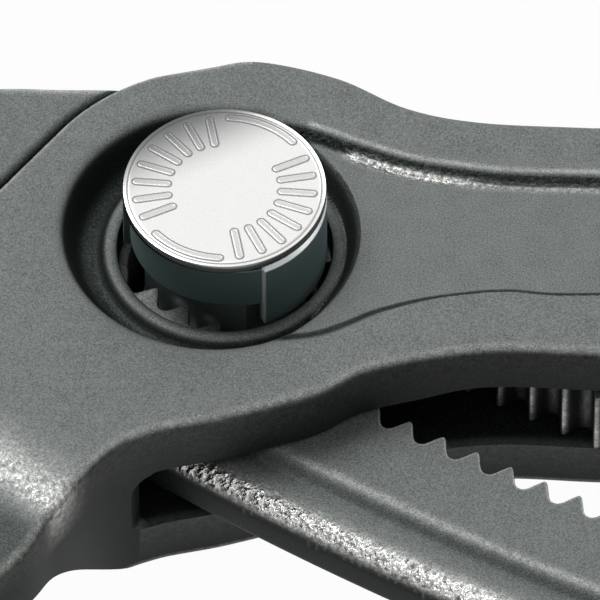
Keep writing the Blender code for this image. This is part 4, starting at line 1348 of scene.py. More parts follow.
@dataclass
class Button:
    """The bright cap with its raised marks, and the dark shaft with its land."""

    cap_radius: float = 7.3
    cap_top: float = 20.0
    cap_bottom: float = 19.3
    mark_rise: float = 0.035
    mark_width: float = 0.27
    mark_slope: Ramp = Ramp(-0.13, 0.07)
    mark_edge: Band = Band(0.03, 0.085)
    rim_bead: Band = Band(7.12, 0.08, 0.02)
    rim_moat: Band = Band(6.97, 0.07)
    moat_depth: float = 0.05
    rim_round: float = 0.1
    grid_step: float = 0.07
    rib_foot: float = 4.1
    rib_top: float = 6.35
    rib_angles: tuple[float, ...] = (205, 190, 175, 160, 145, 130, 115, 100)
    arc_radius: float = 6.45
    arc_angles: tuple[float, float] = (87, 41)
    shaft_radius: float = 6.8
    shaft_top: float = 19.0
    shaft_bottom: float = 15.2
    skirt_radius: float = 6.0
    hollow_top: float = 18.3
    land_radius: float = 7.35
    land_bottom: float = 12.9
    land_start: float = -67.0
    land_sweep: float = 242.0
    land_lead: Band = Band(0.0, 0.32)
    land_gap: float = 0.012
    flank_turn: float = 0.015
    flank_depth: float = 0.3
    chamfer: float = 0.4
    stem_radius: float = 2.7

    def marks(self) -> list[Array]:
        """The lines that the raised marks follow: eight ribs and an arc, twice.

        Returns:
            Each line's points.
        """
        lines = []
        for half_turn in (0.0, math.pi):
            for angle in self.rib_angles:
                out = turn_to(math.radians(angle) + half_turn)
                lines.append(np.array([out * self.rib_foot, out * self.rib_top]))
            first, last = (math.radians(angle) + half_turn for angle in self.arc_angles)
            lines.append(arc((0, 0), self.arc_radius, first, last, 3))
        return lines

    def build_cap(self) -> bpy.types.Object:
        """Builds the cap.

        Returns:
            The object that stands for the cap's node.
        """
        rim = circle(self.cap_radius, 1.5)
        steps = np.arange(-self.cap_radius, self.cap_radius, self.grid_step)
        grid = np.stack(np.meshgrid(steps, steps), -1).reshape(-1, 2)
        grid = grid + 0.02 * np.sin(37 * grid[:, ::-1])
        grid = grid[np.linalg.norm(grid, axis=1) < self.cap_radius - 0.5]
        rows = (0.05, 0.1, 0.16, 0.22, 0.28, 0.34, 0.42)
        rings = [circle(self.cap_radius - off, 1.5) for off in rows]
        plan = PlanMesh.from_lines([rim], [], np.vstack([grid, *rings]))
        radius = np.linalg.norm(plan.points, axis=1)
        near = np.min([distance_to(plan.points, line, False) for line in self.marks()], axis=0)
        raised = 1 - self.mark_slope.at(near - self.mark_width)
        moat = self.rim_moat.at(radius)
        face = self.cap_top - self.mark_rise + self.mark_rise * raised - self.moat_depth * moat
        face = face + self.rim_bead.at(radius) - fillet(self.cap_radius - radius, self.rim_round)
        foot = np.full(len(radius), self.cap_bottom)
        filled = np.ones((len(plan.triangles), 1), bool)
        # Painted shade on the marks' edges and, with the moat, in the rim's groove.
        outline = self.mark_edge.at(near - self.mark_width)
        none = np.zeros(len(radius))
        masks = {"outline": [none, np.maximum(outline, 0.9 * moat)], "raised": [none, raised]}
        return plan.solid("button_cap_plate", filled, [foot, face], masks)

    def build_shaft(self) -> bpy.types.Object:
        """Builds the shaft with the land that keys it in the leg.

        Returns:
            The object that stands for the button body's node.
        """
        start = math.radians(self.land_start)
        end = start + math.radians(self.land_sweep)
        gap = self.land_gap
        bare = arc((0, 0), 1.0, end + gap, start - 2 * gap + 2 * math.pi, 2)
        bare = np.vstack([bare, [turn_to(start - gap)]])
        before = (start - np.arctan2(bare[:, 1], bare[:, 0])) % (2 * math.pi)
        swell = (0.985 * self.land_radius - self.shaft_radius) * self.land_lead.at(before)
        bare = bare * (self.shaft_radius + swell)[:, None]
        turn_in = [self.land_radius * 0.995 * turn_to(start - 0.003)]
        turn_out = [self.land_radius * 0.99 * turn_to(end + 0.005)]
        land = arc((0, 0), self.land_radius, start + 0.02, end - 0.01, 2)
        land = np.vstack([[self.land_radius * turn_to(start + 0.006)], land])
        outline = np.vstack([turn_in, land, turn_out, bare])
        inner = circle(self.stem_radius, 6)
        shaft = circle(self.shaft_radius - 0.06, 2)
        rings = [edge_rings(outline, (0.06, 0.14, 0.24, 0.36, 0.5, 0.8), 1)]
        skirt = [circle(self.skirt_radius + off, 4) for off in (0, 0.06)]
        plan = PlanMesh.from_lines([outline, inner, shaft, *skirt], [], np.vstack(rings))
        reach = np.linalg.norm(plan.middles, axis=1)
        within = inside(plan.middles, outline) & (reach > self.stem_radius)
        keyed = within & (reach > self.shaft_radius - 0.06)
        size = len(plan.points)
        off = distance_to(plan.points, outline)
        angle = np.arctan2(plan.points[:, 1], plan.points[:, 0])
        turn = (angle - start) % (2 * math.pi)
        on_land = turn < end - start
        drop = np.where(on_land, np.clip(self.chamfer - off, 0, None) * 0.9, fillet(off, 0.1))
        heights = [
            np.full(size, self.land_bottom),
            np.where(
                np.linalg.norm(plan.points, axis=1) > self.skirt_radius + 0.03,
                self.shaft_bottom,
                self.hollow_top,
            ),
            self.shaft_top - drop,
        ]
        # Painted highlights: the lit chamfer on the land, and the flank where the land starts.
        lit = on_land * (off > 0.03) * (off < 0.95 * self.chamfer)
        at_flank = np.minimum(turn, 2 * math.pi - turn) < self.flank_turn
        flank = at_flank * (off < self.flank_depth) * 1.0
        worn = np.maximum(lit, flank)
        land_only = keyed & inside(plan.middles, np.vstack([[(0, 0)], turn_in, land, turn_out]))
        filled = np.c_[land_only, within]
        masks = {"worn": [flank, flank, worn]}
        return plan.solid("button_shaft", filled, heights, masks)


@dataclass
class Bolt:
    """The toothed bolt that locks the slot, with the spring that lifts it."""

    teeth_top: float = 6.7
    neck_half: float = 3.6
    neck_top: float = 15.0
    # Painted highlights on the neck's flats, below the slot's middle line.
    brightened: tuple[Band, Band] = (Band(-1.45, 0.45), Band(1.25, 0.45))
    journal_bottom: float = 3.5
    pocket_radius: float = 2.9
    spring_radius: float = 2.15
    spring_wire: float = 0.3
    spring_turns: int = 6
    spring_low: float = 1.5
    spring_high: float = 8.6

    def neck(self) -> Array:
        """The neck in plan: round, with flats that slide along the slot.

        Returns:
            The neck's points.
        """
        radius = JOINT.bolt_radius - 0.4
        turn = math.asin(self.neck_half / radius)
        tilt = JOINT.slot_angle
        right = arc((0, 0), radius, tilt - turn, tilt + turn, 4)
        left = arc((0, 0), radius, tilt + math.pi - turn, tilt + math.pi + turn, 4)
        return filled_in(np.vstack([right, left]), evenly(0.3))

    def outline(self) -> Array:
        """The bolt's teeth in plan, counter-clockwise.

        Returns:
            The outline's points.
        """
        half, root, gap = JOINT.slot_half - JOINT.gap, JOINT.tooth_root, JOINT.gap
        mouth, tip = JOINT.tooth_mouth - gap * 0.6, root * 0.7
        deep = half + JOINT.tooth_depth
        corners = ((-mouth, half), (-tip, deep), (tip, deep), (mouth, half))
        lower = JOINT.tooth_row(-1, JOINT.first_notch, 2, corners)
        upper = JOINT.tooth_row(1, JOINT.first_notch - JOINT.pitch / 2, 3, corners)
        jaw_end, handle_end = (
            JOINT.round_end(0, way, JOINT.bolt_radius - 0.1, half) for way in (-1, 1)
        )
        loop = np.array(jaw_end + lower + handle_end + upper[::-1])
        return rounded(without_crowding(loop, 0.1))

    def build(self) -> bpy.types.Object:
        """Builds the bolt.

        Returns:
            The object that stands for the bolt's node.
        """
        outline = filled_in(self.outline(), evenly(0.35))
        pocket = circle(self.pocket_radius, 5)
        plan = PlanMesh.from_lines(
            [outline, self.neck(), pocket], [], edge_rings(outline, (0.08, 0.2, 0.35), 1)
        )
        reach = np.linalg.norm(plan.middles, axis=1)
        body = inside(plan.middles, outline)
        neck = inside(plan.middles, self.neck())
        bored = reach > self.pocket_radius
        filled = np.c_[body & bored, neck & bored, neck, neck, neck]
        off = distance_to(plan.points, outline)
        # Painted highlight on the teeth's top edges.
        worn = np.clip(1.3 - off / 0.28, 0, 1)
        size = len(off)
        heights = [
            self.journal_bottom + 0.5 * np.clip(0.3 - off, 0, None),
            self.teeth_top - 0.9 * np.clip(0.35 - off, 0, None),
            *(np.full(size, level) for level in (8.8, 9.5, 10.1, self.neck_top)),
        ]
        # Painted highlights on the neck's flats, and the neck a little brighter all over.
        along = JOINT.along_slot(plan.points)
        below = JOINT.above_slot(plan.points) < -3
        brightened = sum(band.at(along) for band in self.brightened) * below
        none = np.zeros(size)
        masks = {"worn": [none, worn, 0.2 * brightened + 0.1, brightened + 0.1, none + 0.1, none + 0.1]}
        return plan.solid("locking_bolt", filled, heights, masks)

    def build_spring(self, finish: bpy.types.Material) -> bpy.types.Object:
        """Builds the coil spring as a node tree and bakes it.

        Args:
            finish: Material of the wire.

        Returns:
            The object that stands for the spring's node.
        """
        build = geometry_nodes("coil_spring")
        wire = self.spring_wire * MM
        low = self.spring_low * MM + wire
        coil = build.add(
            "GeometryNodeCurveSpiral",
            {
                "Resolution": 40,
                "Rotations": float(self.spring_turns),
                "Start Radius": self.spring_radius * MM,
                "End Radius": self.spring_radius * MM,
                "Height": self.spring_high * MM - wire - low,
            },
        )
        placed = build.add("GeometryNodeTransform", {"Geometry": coil, "Translation": (0, 0, low)})
        circle = build.add("GeometryNodeCurvePrimitiveCircle", {"Resolution": 10, "Radius": wire})
        skin = build.add(
            "GeometryNodeCurveToMesh",
            {"Curve": placed, "Profile Curve": circle, "Fill Caps": True},
        )
        return baked("return_spring_wire", build, skin, finish)


# ------------------------------------------------------------------ grips


@dataclass
class Grip:
    """A moulded sleeve over a handle's end, with a ribbed soft inlay on its outer side."""

    name: str
    spine: Array
    end: float
    side: int
    length: float = 115.0
    half_width: float = 10.2
    top: float = 15.6
    corner: float = 4.4
    lip: Band = Band(0.0, 1.1, 0.55)
    groove: Band = Band(4.5, 0.45, 0.3)
    waist: float = 0.5
    inlay_margin: float = 14.0
    inlay_half: float = 4.0
    inlay_deep: float = 1.1
    inlay_corner: float = 0.5
    inlay_proud: float = 0.05
    pinch_length: float = 3.6
    sleeve_steps: int = 90
    inlay_steps: int = 60
    rib_radius: float = 0.55
    rib_reach: float = 1.55
    rib_pitch: float = 2.4

    def line(self, first: float, last: float, count: int) -> Array:
        """Points on the handle's middle line between two distances along X."""
        places = np.linspace(first, last, count)
        return np.c_[places, np.interp(places, self.spine[:, 0], self.spine[:, 1])]

    def section(self, half_width: float, half_height: float, corner: float) -> Array:
        """A rounded rectangle, counter-clockwise.

        Args:
            half_width: Half its size across the handle.
            half_height: Half its height.
            corner: Radius of its corners.

        Returns:
            Its (across, height) points.
        """
        corner = min(corner, 0.98 * half_width, 0.98 * half_height)
        parts = []
        for index, (x, z) in enumerate(((1, 1), (-1, 1), (-1, -1), (1, -1))):
            middle = (x * (half_width - corner), z * (half_height - corner))
            first = index * math.pi / 2
            parts.append(arc(middle, corner, first, first + math.pi / 2, 10))
        return np.vstack(parts)

    def loft(self, name: str, line: Array, sections: list[Array]) -> bpy.types.Object:
        """Skins sections set upright along a line.

        Args:
            name: Name of the piece.
            line: The middle line in plan.
            sections: A section for each of its points.

        Returns:
            The object.
        """
        out = normals_of(line)
        middle = self.top / 2
        points: list = []
        for place, normal, section in zip(line, out, sections):
            plan = place + section[:, :1] * normal
            points.append(np.c_[plan, section[:, 1:] + middle])
        count, rows = len(sections[0]), len(line)
        faces = []
        for row in range(rows - 1):
            for i in range(count):
                j = (i + 1) % count
                a, b = row * count, (row + 1) * count
                faces.append([a + i, a + j, b + j, b + i])
        faces.append(list(range(count))[::-1])
        faces.append([(rows - 1) * count + i for i in range(count)])
        mesh = mesh_from(name, np.vstack(points), faces)
        shape = bmesh.new()
        shape.from_mesh(mesh)
        bmesh.ops.recalc_face_normals(shape, faces=shape.faces)
        shape.to_mesh(mesh)
        shape.free()
        return new_object(name, mesh, 50)

    def build_sleeve(self) -> bpy.types.Object:
        """Builds the sleeve.

        Returns:
            The object that stands for the grip's node.
        """
        first, last = self.end - self.length, self.end + self.half_width * 0.56
        line = self.line(first, self.end, self.sleeve_steps)
        straight_end = line[-1]
        heading = straight_end - line[-2]
        heading = heading / np.linalg.norm(heading)
        reach = np.array([0.2, 0.4, 0.58, 0.74, 0.87, 0.95, 0.99]) * (last - self.end + 4.1)
        line = np.vstack([line, line[-1] + reach[:, None] * heading])
        travel = line[:, 0] - first
        sections = []
        for place, along in zip(line, travel):
            beyond = max(0.0, np.linalg.norm(place - straight_end) if place[0] > self.end else 0.0)
            tip = math.sqrt(max(0.0, 1 - (beyond / self.half_width) ** 2))
            lip = self.lip.at(along)
            waist = self.waist * math.sin(math.pi * min(along / self.length, 1.0)) ** 2
            groove = self.groove.at(along)
            half_width = (self.half_width - lip - groove - 0.5 * waist) * max(tip, 0.12)
            half_height = self.top / 2 - lip - groove
            half_height *= 1 - 0.35 * (1 - tip) ** 1.5
            sections.append(self.section(half_width, half_height, self.corner))
        return self.loft(f"{self.name}_sleeve", line, sections)

    def build_inlay(self, finish: bpy.types.Material) -> bpy.types.Object:
        """Builds the inlay and its ribs as a node tree and bakes them.

        Args:
            finish: Material of the soft plastic.

        Returns:
            The object that stands for the inlay's node.
        """
        first, last = self.end - self.length + self.inlay_margin, self.end - self.inlay_margin
        line = self.line(first, last, self.inlay_steps)
        sections = []
        for share in np.linspace(0, 1, self.inlay_steps):
            edge = min(share, 1 - share) * (last - first)
            pinch = math.sqrt(max(0.0, 1 - max(0.0, 1 - edge / self.pinch_length) ** 2))
            half = self.inlay_half * max(pinch, 0.15)
            proud = self.half_width + self.inlay_proud - 0.4 * (1 - pinch)
            section = self.section(self.inlay_deep, half, self.inlay_corner)
            section[:, 0] += self.side * (proud - self.inlay_deep)
            sections.append(section)
        body = self.loft(f"{self.name}_inlay_body", line, sections)
        edge = strip_edge(line[4:-4], self.half_width - 0.15, self.side)
        return self._ribs(body, edge, finish)

    def _ribs(
        self, body: bpy.types.Object, edge: Array, finish: bpy.types.Material
    ) -> bpy.types.Object:
        """Sets ribs along the inlay.

        Args:
            body: The inlay without ribs.
            edge: The line that the ribs follow.
            finish: Material of the soft plastic.

        Returns:
            The inlay with its ribs.
        """
        guide = bpy.data.curves.new(f"{self.name}_guide", "CURVE")
        guide.dimensions = "3D"
        spline = guide.splines.new("POLY")
        spline.points.add(len(edge) - 1)
        for point, place in zip(spline.points, edge):
            point.co = (place[0] * MM, place[1] * MM, self.top / 2 * MM, 1)
        path = bpy.data.objects.new(f"{self.name}_guide", guide)
        bpy.context.scene.collection.objects.link(path)
        build = geometry_nodes(f"{self.name}_ribs")
        source = build.add("GeometryNodeObjectInfo", {"Object": path})
        spots = build.add(
            "GeometryNodeCurveToPoints",
            {"Curve": (source, "Geometry"), "Length": self.rib_pitch * MM},
            mode="LENGTH",
        )
        depth = self.rib_reach * self.inlay_half * MM
        rib = build.add(
            "GeometryNodeMeshCylinder",
            {"Vertices": 10, "Radius": self.rib_radius * MM, "Depth": depth},
            fill_type="TRIANGLE_FAN",
        )
        ribs = build.add(
            "GeometryNodeInstanceOnPoints", {"Points": spots, "Instance": (rib, "Mesh")}
        )
        base = build.add("GeometryNodeObjectInfo", {"Object": body})
        both = build.add("GeometryNodeJoinGeometry", {"Geometry": [(base, "Geometry"), ribs]})
        made = baked(f"{self.name}_inlay_pad", build, both, finish)
        for helper in (body, path):
            bpy.data.objects.remove(helper)
        return made


# ------------------------------------------------------------------ node trees


UPRIGHT = Ramp(0.35, 0.95)


class Group(Enum):
    """The shader node groups that the finishes share."""

    GRAIN = "fine grain"
    # Breaks up masks of wear, painted highlights and painted shade.
    WEAR = "patchy mask"


class Nodes:
    """Short hand for a node tree: nodes are added with their inputs and links."""

    def __init__(self, tree: bpy.types.NodeTree) -> None:
        """Keeps the tree."""
        self.tree = tree

    def add(self, kind: str, inputs: dict | None = None, **settings) -> bpy.types.Node:
        """Adds a node.

        Args:
            kind: Type of the node.
            inputs: For each input, a value, a node, a (node, output) pair, or a list of those.
            **settings: Properties of the node, set before its inputs.

        Returns:
            The node.
        """
        node = self.tree.nodes.new(kind)
        for key, value in settings.items():
            setattr(node, key, value)
        for key, value in (inputs or {}).items():
            socket = node.inputs[key]
            for one in value if isinstance(value, list) else [value]:
                self.join(one, socket)
        return node

    def join(self, value: object, socket: bpy.types.NodeSocket) -> None:
        """Links a node's output to a socket, or sets the socket's own value.

        Args:
            value: A node, a (node, output) pair or a plain value.
            socket: The input socket.
        """
        if isinstance(value, bpy.types.Node):
            live = [output for output in value.outputs if output.enabled]
            self.tree.links.new(live[0], socket)
        elif isinstance(value, tuple) and isinstance(value[0], bpy.types.Node):
            self.tree.links.new(value[0].outputs[value[1]], socket)
        else:
            socket.default_value = value

    def maths(self, operation: str, *values: object, clamp: bool = False) -> bpy.types.Node:
        """Adds a maths node with these values."""
        given = dict(enumerate(values))
        return self.add("ShaderNodeMath", given, operation=operation, use_clamp=clamp)

    def noise(self, scale: object, detail: float, roughness: float = 0.5) -> bpy.types.Node:
        """Adds a noise that is fixed to the object.

        Args:
            scale: Its scale, as a number, a node or a (node, output) pair.
            detail: How many finer layers it has.
            roughness: How strong those are.

        Returns:
            The noise's node.
        """
        at = (self.add("ShaderNodeTexCoord"), "Object")
        inputs = {"Vector": at, "Scale": scale, "Detail": detail, "Roughness": roughness}
        return self.add("ShaderNodeTexNoise", inputs)

    def bump(self, height: object, distance: float, **inputs: object) -> bpy.types.Node:
        """Turns a height into a normal."""
        return self.add("ShaderNodeBump", {"Height": height, "Distance": distance, **inputs})

    def scaled(self, colour: object, tone: object) -> tuple:
        """Multiplies a colour by a number."""
        inputs = {0: colour, "Scale": tone}
        return self.add("ShaderNodeVectorMath", inputs, operation="SCALE"), "Vector"

    def soft_step(self, value: object, ramp: Ramp) -> tuple:
        """A soft step from 0 to 1 where a value goes up a ramp.

        Args:
            value: A node or a (node, output) pair.
            ramp: Where the step starts and ends.

        Returns:
            The node and its output.
        """
        inputs = {"Value": value, "From Min": ramp.low, "From Max": ramp.high}
        step = self.add("ShaderNodeMapRange", inputs, interpolation_type="SMOOTHSTEP")
        return step, "Result"

    def upright(self) -> tuple:
        """1 on skin that faces straight up or down, and 0 on a side wall.

        Returns:
            The node and its output.
        """
        surface = self.add("ShaderNodeNewGeometry")
        axis = self.add("ShaderNodeSeparateXYZ", {"Vector": (surface, "Normal")})
        return self.soft_step(self.maths("ABSOLUTE", (axis, "Z")), UPRIGHT)

    def mix(self, mask: object, first: object, second: object) -> tuple:
        """Mixes two colours by a mask.

        Args:
            mask: Where the second shows.
            first: A colour or a node.
            second: A colour or a node.

        Returns:
            The node and its output.
        """
        node = self.add("ShaderNodeMix", data_type="RGBA")
        self.join(mask, node.inputs[0])
        for value, socket in ((first, node.inputs[6]), (second, node.inputs[7])):
            if isinstance(value, tuple) and isinstance(value[0], float):
                value = (*value, 1.0)
            self.join(value, socket)
        return node, 2

    def towards(self, mask: object, first: object, second: float) -> bpy.types.Node:
        """Moves a node's number towards another by a mask."""
        return self.maths("MULTIPLY_ADD", mask, self.maths("SUBTRACT", second, first), first)

    def blend(self, mask: object, first: float, second: float) -> bpy.types.Node:
        """Blends two numbers by a mask."""
        return self.maths("MULTIPLY_ADD", mask, second - first, first)

    def mask(self, name: str) -> tuple:
        """Reads a mask that the mesh carries."""
        return self.add("ShaderNodeAttribute", attribute_name=name), "Fac"

    def group(self, kind: Group, **inputs: object) -> bpy.types.Node:
        """Adds one of the shared shader groups with these inputs."""
        tree = bpy.data.node_groups[kind.value]
        return self.add("ShaderNodeGroup", inputs, node_tree=tree)

    def skin(self, inputs: dict) -> None:
        """Ends a material with a principled shader."""
        shader = self.add("ShaderNodeBsdfPrincipled", inputs)
        self.add("ShaderNodeOutputMaterial", {"Surface": shader})


def empty_nodes(owner: bpy.types.Material | bpy.types.World) -> Nodes:
    """Starts the node tree of a material or a world from nothing.

    Args:
        owner: The material or the world.

    Returns:
        The helper of its tree.
    """
    owner.use_nodes = True
    owner.node_tree.nodes.clear()
    return Nodes(owner.node_tree)


def geometry_nodes(name: str) -> Nodes:
    """Starts a geometry tree.

    Args:
        name: Name of the tree.

    Returns:
        The helper of the tree.
    """
    tree = bpy.data.node_groups.new(name, "GeometryNodeTree")
    tree.interface.new_socket("Geometry", in_out="OUTPUT", socket_type="NodeSocketGeometry")
    return Nodes(tree)


def baked(
    name: str, build: Nodes, geometry: bpy.types.Node, finish: bpy.types.Material
) -> bpy.types.Object:
    """Ends a geometry tree, runs it once and keeps its mesh.

    Args:
        name: Name of the piece.
        build: Helper of the tree.
        geometry: The node whose geometry is kept.
        finish: The piece's material.

    Returns:
        The object with the tree's mesh, without a modifier.
    """
    real = build.add("GeometryNodeRealizeInstances", {"Geometry": geometry})
    dressed = build.add("GeometryNodeSetMaterial", {"Geometry": real, "Material": finish})
    build.add("NodeGroupOutput", {"Geometry": dressed})
    LOG.info("%s is made by %s", name, build.tree.name)
    carrier = bpy.data.objects.new(name, bpy.data.meshes.new(f"{name}_empty"))
    bpy.context.scene.collection.objects.link(carrier)
    modifier = carrier.modifiers.new("shape", "NODES")
    modifier.node_group = build.tree
    graph = bpy.context.evaluated_depsgraph_get()
    mesh = bpy.data.meshes.new_from_object(carrier.evaluated_get(graph), depsgraph=graph)
    carrier.modifiers.remove(modifier)
    carrier.data = mesh
    mesh.shade_smooth()
    mesh.set_sharp_from_angle(angle=math.radians(40))
    return carrier


# ------------------------------------------------------------------ finishes


def shader_group(kind: Group, inputs: dict[str, float], outputs: tuple[str, ...]) -> tuple:
    """Makes an empty shader node group.

    Args:
        kind: Which group.
        inputs: Its number inputs and their defaults.
        outputs: Names of its number outputs.

    Returns:
        The tree's helper and its input node.
    """
    tree = bpy.data.node_groups.new(kind.value, "ShaderNodeTree")
    for name, value in inputs.items():
        socket = tree.interface.new_socket(name, in_out="INPUT", socket_type="NodeSocketFloat")
        socket.default_value = value
    for name in outputs:
        tree.interface.new_socket(name, in_out="OUTPUT", socket_type="NodeSocketFloat")
    build = Nodes(tree)
    return build, build.add("NodeGroupInput")


def grain_group() -> None:
    """Makes the group of a fine two-step grain: a brightness factor about 1, and a height."""
    defaults = {"Scale": 7000.0, "Amount": 0.12}
    build, given = shader_group(Group.GRAIN, defaults, ("Factor", "Height"))
    fine = build.noise((given, "Scale"), 2.0, 0.6)
    patch = build.noise(build.maths("MULTIPLY", (given, "Scale"), 0.07), 3.0)
    spread = build.maths("MULTIPLY_ADD", (fine, "Fac"), 4.0, -2.0)
    slow = build.maths("MULTIPLY_ADD", (patch, "Fac"), 0.5, -0.25)
    both = build.maths("ADD", spread, slow)
    factor = build.maths("MULTIPLY_ADD", both, (given, "Amount"), 1.0)
    build.add("NodeGroupOutput", {"Factor": factor, "Height": (fine, "Fac")})


def patchy_mask_group() -> None:
    """Makes the group of a patchy mask, for wear with painted highlights and for painted shade,
    and the hammer's dents.
    """
    defaults = {"Worn": 0.0, "Hammered": 0.0, "Scale": 1500.0, "Breakup": 0.5}
    build, given = shader_group(Group.WEAR, defaults, ("Mask", "Height"))
    patch = build.noise((given, "Scale"), 1.5, 0.55)
    dents = build.noise(build.maths("MULTIPLY", (given, "Scale"), 1.6), 2.0)
    centred = build.maths("MULTIPLY_ADD", (patch, "Fac"), 4.2, -2.1)
    share = build.maths("MULTIPLY_ADD", (given, "Hammered"), 0.6, 0.4)
    broken = build.maths("MULTIPLY", build.maths("MULTIPLY", centred, (given, "Breakup")), share)
    gain = build.maths("ADD", broken, 1.0)
    mask = build.maths("MULTIPLY", (given, "Worn"), gain, clamp=True)
    both = build.maths("MULTIPLY_ADD", (dents, "Fac"), 0.5, (patch, "Fac"))
    height = build.maths("MULTIPLY", both, (given, "Hammered"))
    build.add("NodeGroupOutput", {"Mask": mask, "Height": height})


Colour = tuple[float, float, float]


@dataclass(frozen=True)
class Finish:
    """A skin with fine grain, brighter and smoother where it is worn or a highlight is painted,
    and darker where shade is painted.
    """

    name: str
    base: Colour
    # Colour of the side walls; on the forged legs it is painted shade.
    side: Colour
    bright: Colour
    # Colour of the painted shade that the deep mask sets.
    deep: Colour = (0.014, 0.019, 0.0165)
    metallic: float = 0.0
    side_metallic: float = 0.0
    deep_metallic: float = 0.9
    specular: float = 0.5
    bright_metallic: float = 0.9
    roughness: float = 0.55
    bright_roughness: float = 0.3
    grain_scale: float = 7000.0
    grain: float = 0.12
    grain_depth: float = 0.00002
    dent_depth: float = 0.00025
    highlight_and_wear_scale: float = 1500.0
    breakup: float = 0.5
    deep_scale: float = 6500.0
    deep_breakup: float = 0.3

    def make(self) -> bpy.types.Material:
        """Builds the material.

        Returns:
            The material.
        """
        material = bpy.data.materials.new(self.name)
        build = empty_nodes(material)
        grain = build.group(Group.GRAIN, Scale=self.grain_scale, Amount=self.grain)
        worn, hammered = build.mask("worn"), build.mask("hammered")
        wear_and_highlight_node = build.group(
            Group.WEAR, Worn=worn, Hammered=hammered, Scale=self.highlight_and_wear_scale, Breakup=self.breakup
        )
        faces_up_or_down = build.upright()
        low = build.mask("deep")
        deep = build.group(Group.WEAR, Worn=low, Scale=self.deep_scale, Breakup=self.deep_breakup)
        brightened, sunk = (wear_and_highlight_node, "Mask"), (deep, "Mask")
        # Painted shade from the deep mask and on the side walls, then wear and painted highlights
        # on top.
        skin = build.mix(sunk, build.mix(faces_up_or_down, self.side, self.base), self.deep)
        colour = build.mix(brightened, skin, self.bright)
        metallic = build.blend(faces_up_or_down, self.side_metallic, self.metallic)
        metallic = build.towards(sunk, metallic, self.deep_metallic)
        metallic = build.towards(brightened, metallic, self.bright_metallic)
        fine = build.bump((grain, "Height"), self.grain_depth)
        build.skin(
            {
                "Base Color": build.scaled(colour, (grain, "Factor")),
                "Metallic": metallic,
                "Roughness": build.blend(brightened, self.roughness, self.bright_roughness),
                "Specular IOR Level": self.specular,
                "Normal": build.bump((wear_and_highlight_node, "Height"), self.dent_depth, Normal=fine),
            }
        )
        return material


@dataclass(frozen=True)
class PlatedFinish:
    """Bright plate with painted shade on its marks' edges, rim groove and wall, and a painted
    darker reflection towards the jaws.
    """

    name: str = "nickel plate, button"
    bright: Colour = (0.84, 0.845, 0.83)
    # Painted darker reflection, towards the jaws.
    shaded_reflection: Colour = (0.13, 0.135, 0.135)
    # Painted shade on the cap's wall.
    wall: Colour = (0.2, 0.205, 0.2)
    # Painted shade on the marks' edges and in the rim's groove.
    mark_shade: Colour = (0.09, 0.095, 0.09)
    mark_shade_share: float = 0.85
    raised_tone: float = -0.2
    roughness: float = 0.17
    grain_scale: float = 9000.0
    grain: float = 0.035
    grain_depth: float = 0.000004
    # Direction and reach of the painted darker reflection.
    slant: tuple[float, float] = (64.0, -121.0)
    shaded_reflection_ramp: Ramp = Ramp(-1.05, -0.2)

    def make(self) -> bpy.types.Material:
        """Builds the material.

        Returns:
            The material.
        """
        material = bpy.data.materials.new(self.name)
        build = empty_nodes(material)
        grain = build.group(Group.GRAIN, Scale=self.grain_scale, Amount=self.grain)
        place = build.add("ShaderNodeTexCoord")
        axis = build.add("ShaderNodeSeparateXYZ", {"Vector": (place, "Object")})
        across = build.maths("MULTIPLY", (axis, "X"), self.slant[0])
        slant = build.maths("MULTIPLY_ADD", (axis, "Y"), self.slant[1], across)
        # Painted darker reflection towards the jaws, then painted shade on the wall.
        colour = build.mix(build.soft_step(slant, self.shaded_reflection_ramp), self.shaded_reflection, self.bright)
        colour = build.mix(build.upright(), self.wall, colour)
        outline, raised = build.mask("outline"), build.mask("raised")
        # Painted shade on the marks' edges and in the rim's groove.
        mark_shaded = build.maths("MULTIPLY", outline, self.mark_shade_share)
        marked = build.mix(mark_shaded, colour, self.mark_shade)
        tone = build.maths("MULTIPLY_ADD", raised, self.raised_tone, (grain, "Factor"))
        build.skin(
            {
                "Base Color": build.scaled(marked, tone),
                "Metallic": build.maths("MULTIPLY_ADD", outline, -0.9, 1.0),
                "Roughness": build.maths("MULTIPLY_ADD", outline, 0.6, self.roughness),
                "Normal": build.bump((grain, "Height"), self.grain_depth),
            }
        )
        return material


FORGED = Finish(
    "forged steel, black oxide",
    base=(0.17, 0.187, 0.182),
    # Near-black side walls: painted shade.
    side=(0.013, 0.017, 0.0145),
    bright=(0.62, 0.62, 0.6),
    metallic=0.1,
    side_metallic=0.6,
    specular=0.25,
    grain_scale=9000.0,
    grain=0.62,
    grain_depth=0.00003,
    highlight_and_wear_scale=2200.0,
    breakup=1.0,
    dent_depth=0.00048,
    bright_roughness=0.25,
)
BLACKENED = Finish(
    "blackened steel",
    base=(0.108, 0.16, 0.16),
    side=(0.108, 0.16, 0.16),
    bright=(0.9, 0.92, 0.92),
    metallic=0.3,
    roughness=0.42,
    grain=0.05,
    grain_depth=0.000004,
    bright_metallic=0.3,
    breakup=0.15,
)
SPRING_STEEL = Finish(
    "spring steel",
    base=(0.42, 0.43, 0.44),
    side=(0.35, 0.36, 0.37),
    bright=(0.6, 0.6, 0.6),
    metallic=1.0,
    roughness=0.3,
    grain=0.05,
    grain_depth=0.000004,
)
REAR_STEEL = Finish(
    "steel, rear cap",
    base=(0.3, 0.305, 0.3),
    side=(0.12, 0.125, 0.125),
    bright=(0.6, 0.6, 0.59),
    metallic=0.8,
    roughness=0.38,
    grain=0.08,
)
SHELL = Finish(
    "grip shell, red plastic",
    base=(0.42, 0.018, 0.022),
    side=(0.36, 0.014, 0.018),
    bright=(0.5, 0.03, 0.03),
    roughness=0.42,
    grain_scale=2600.0,
    grain=0.05,
    grain_depth=0.00003,
)
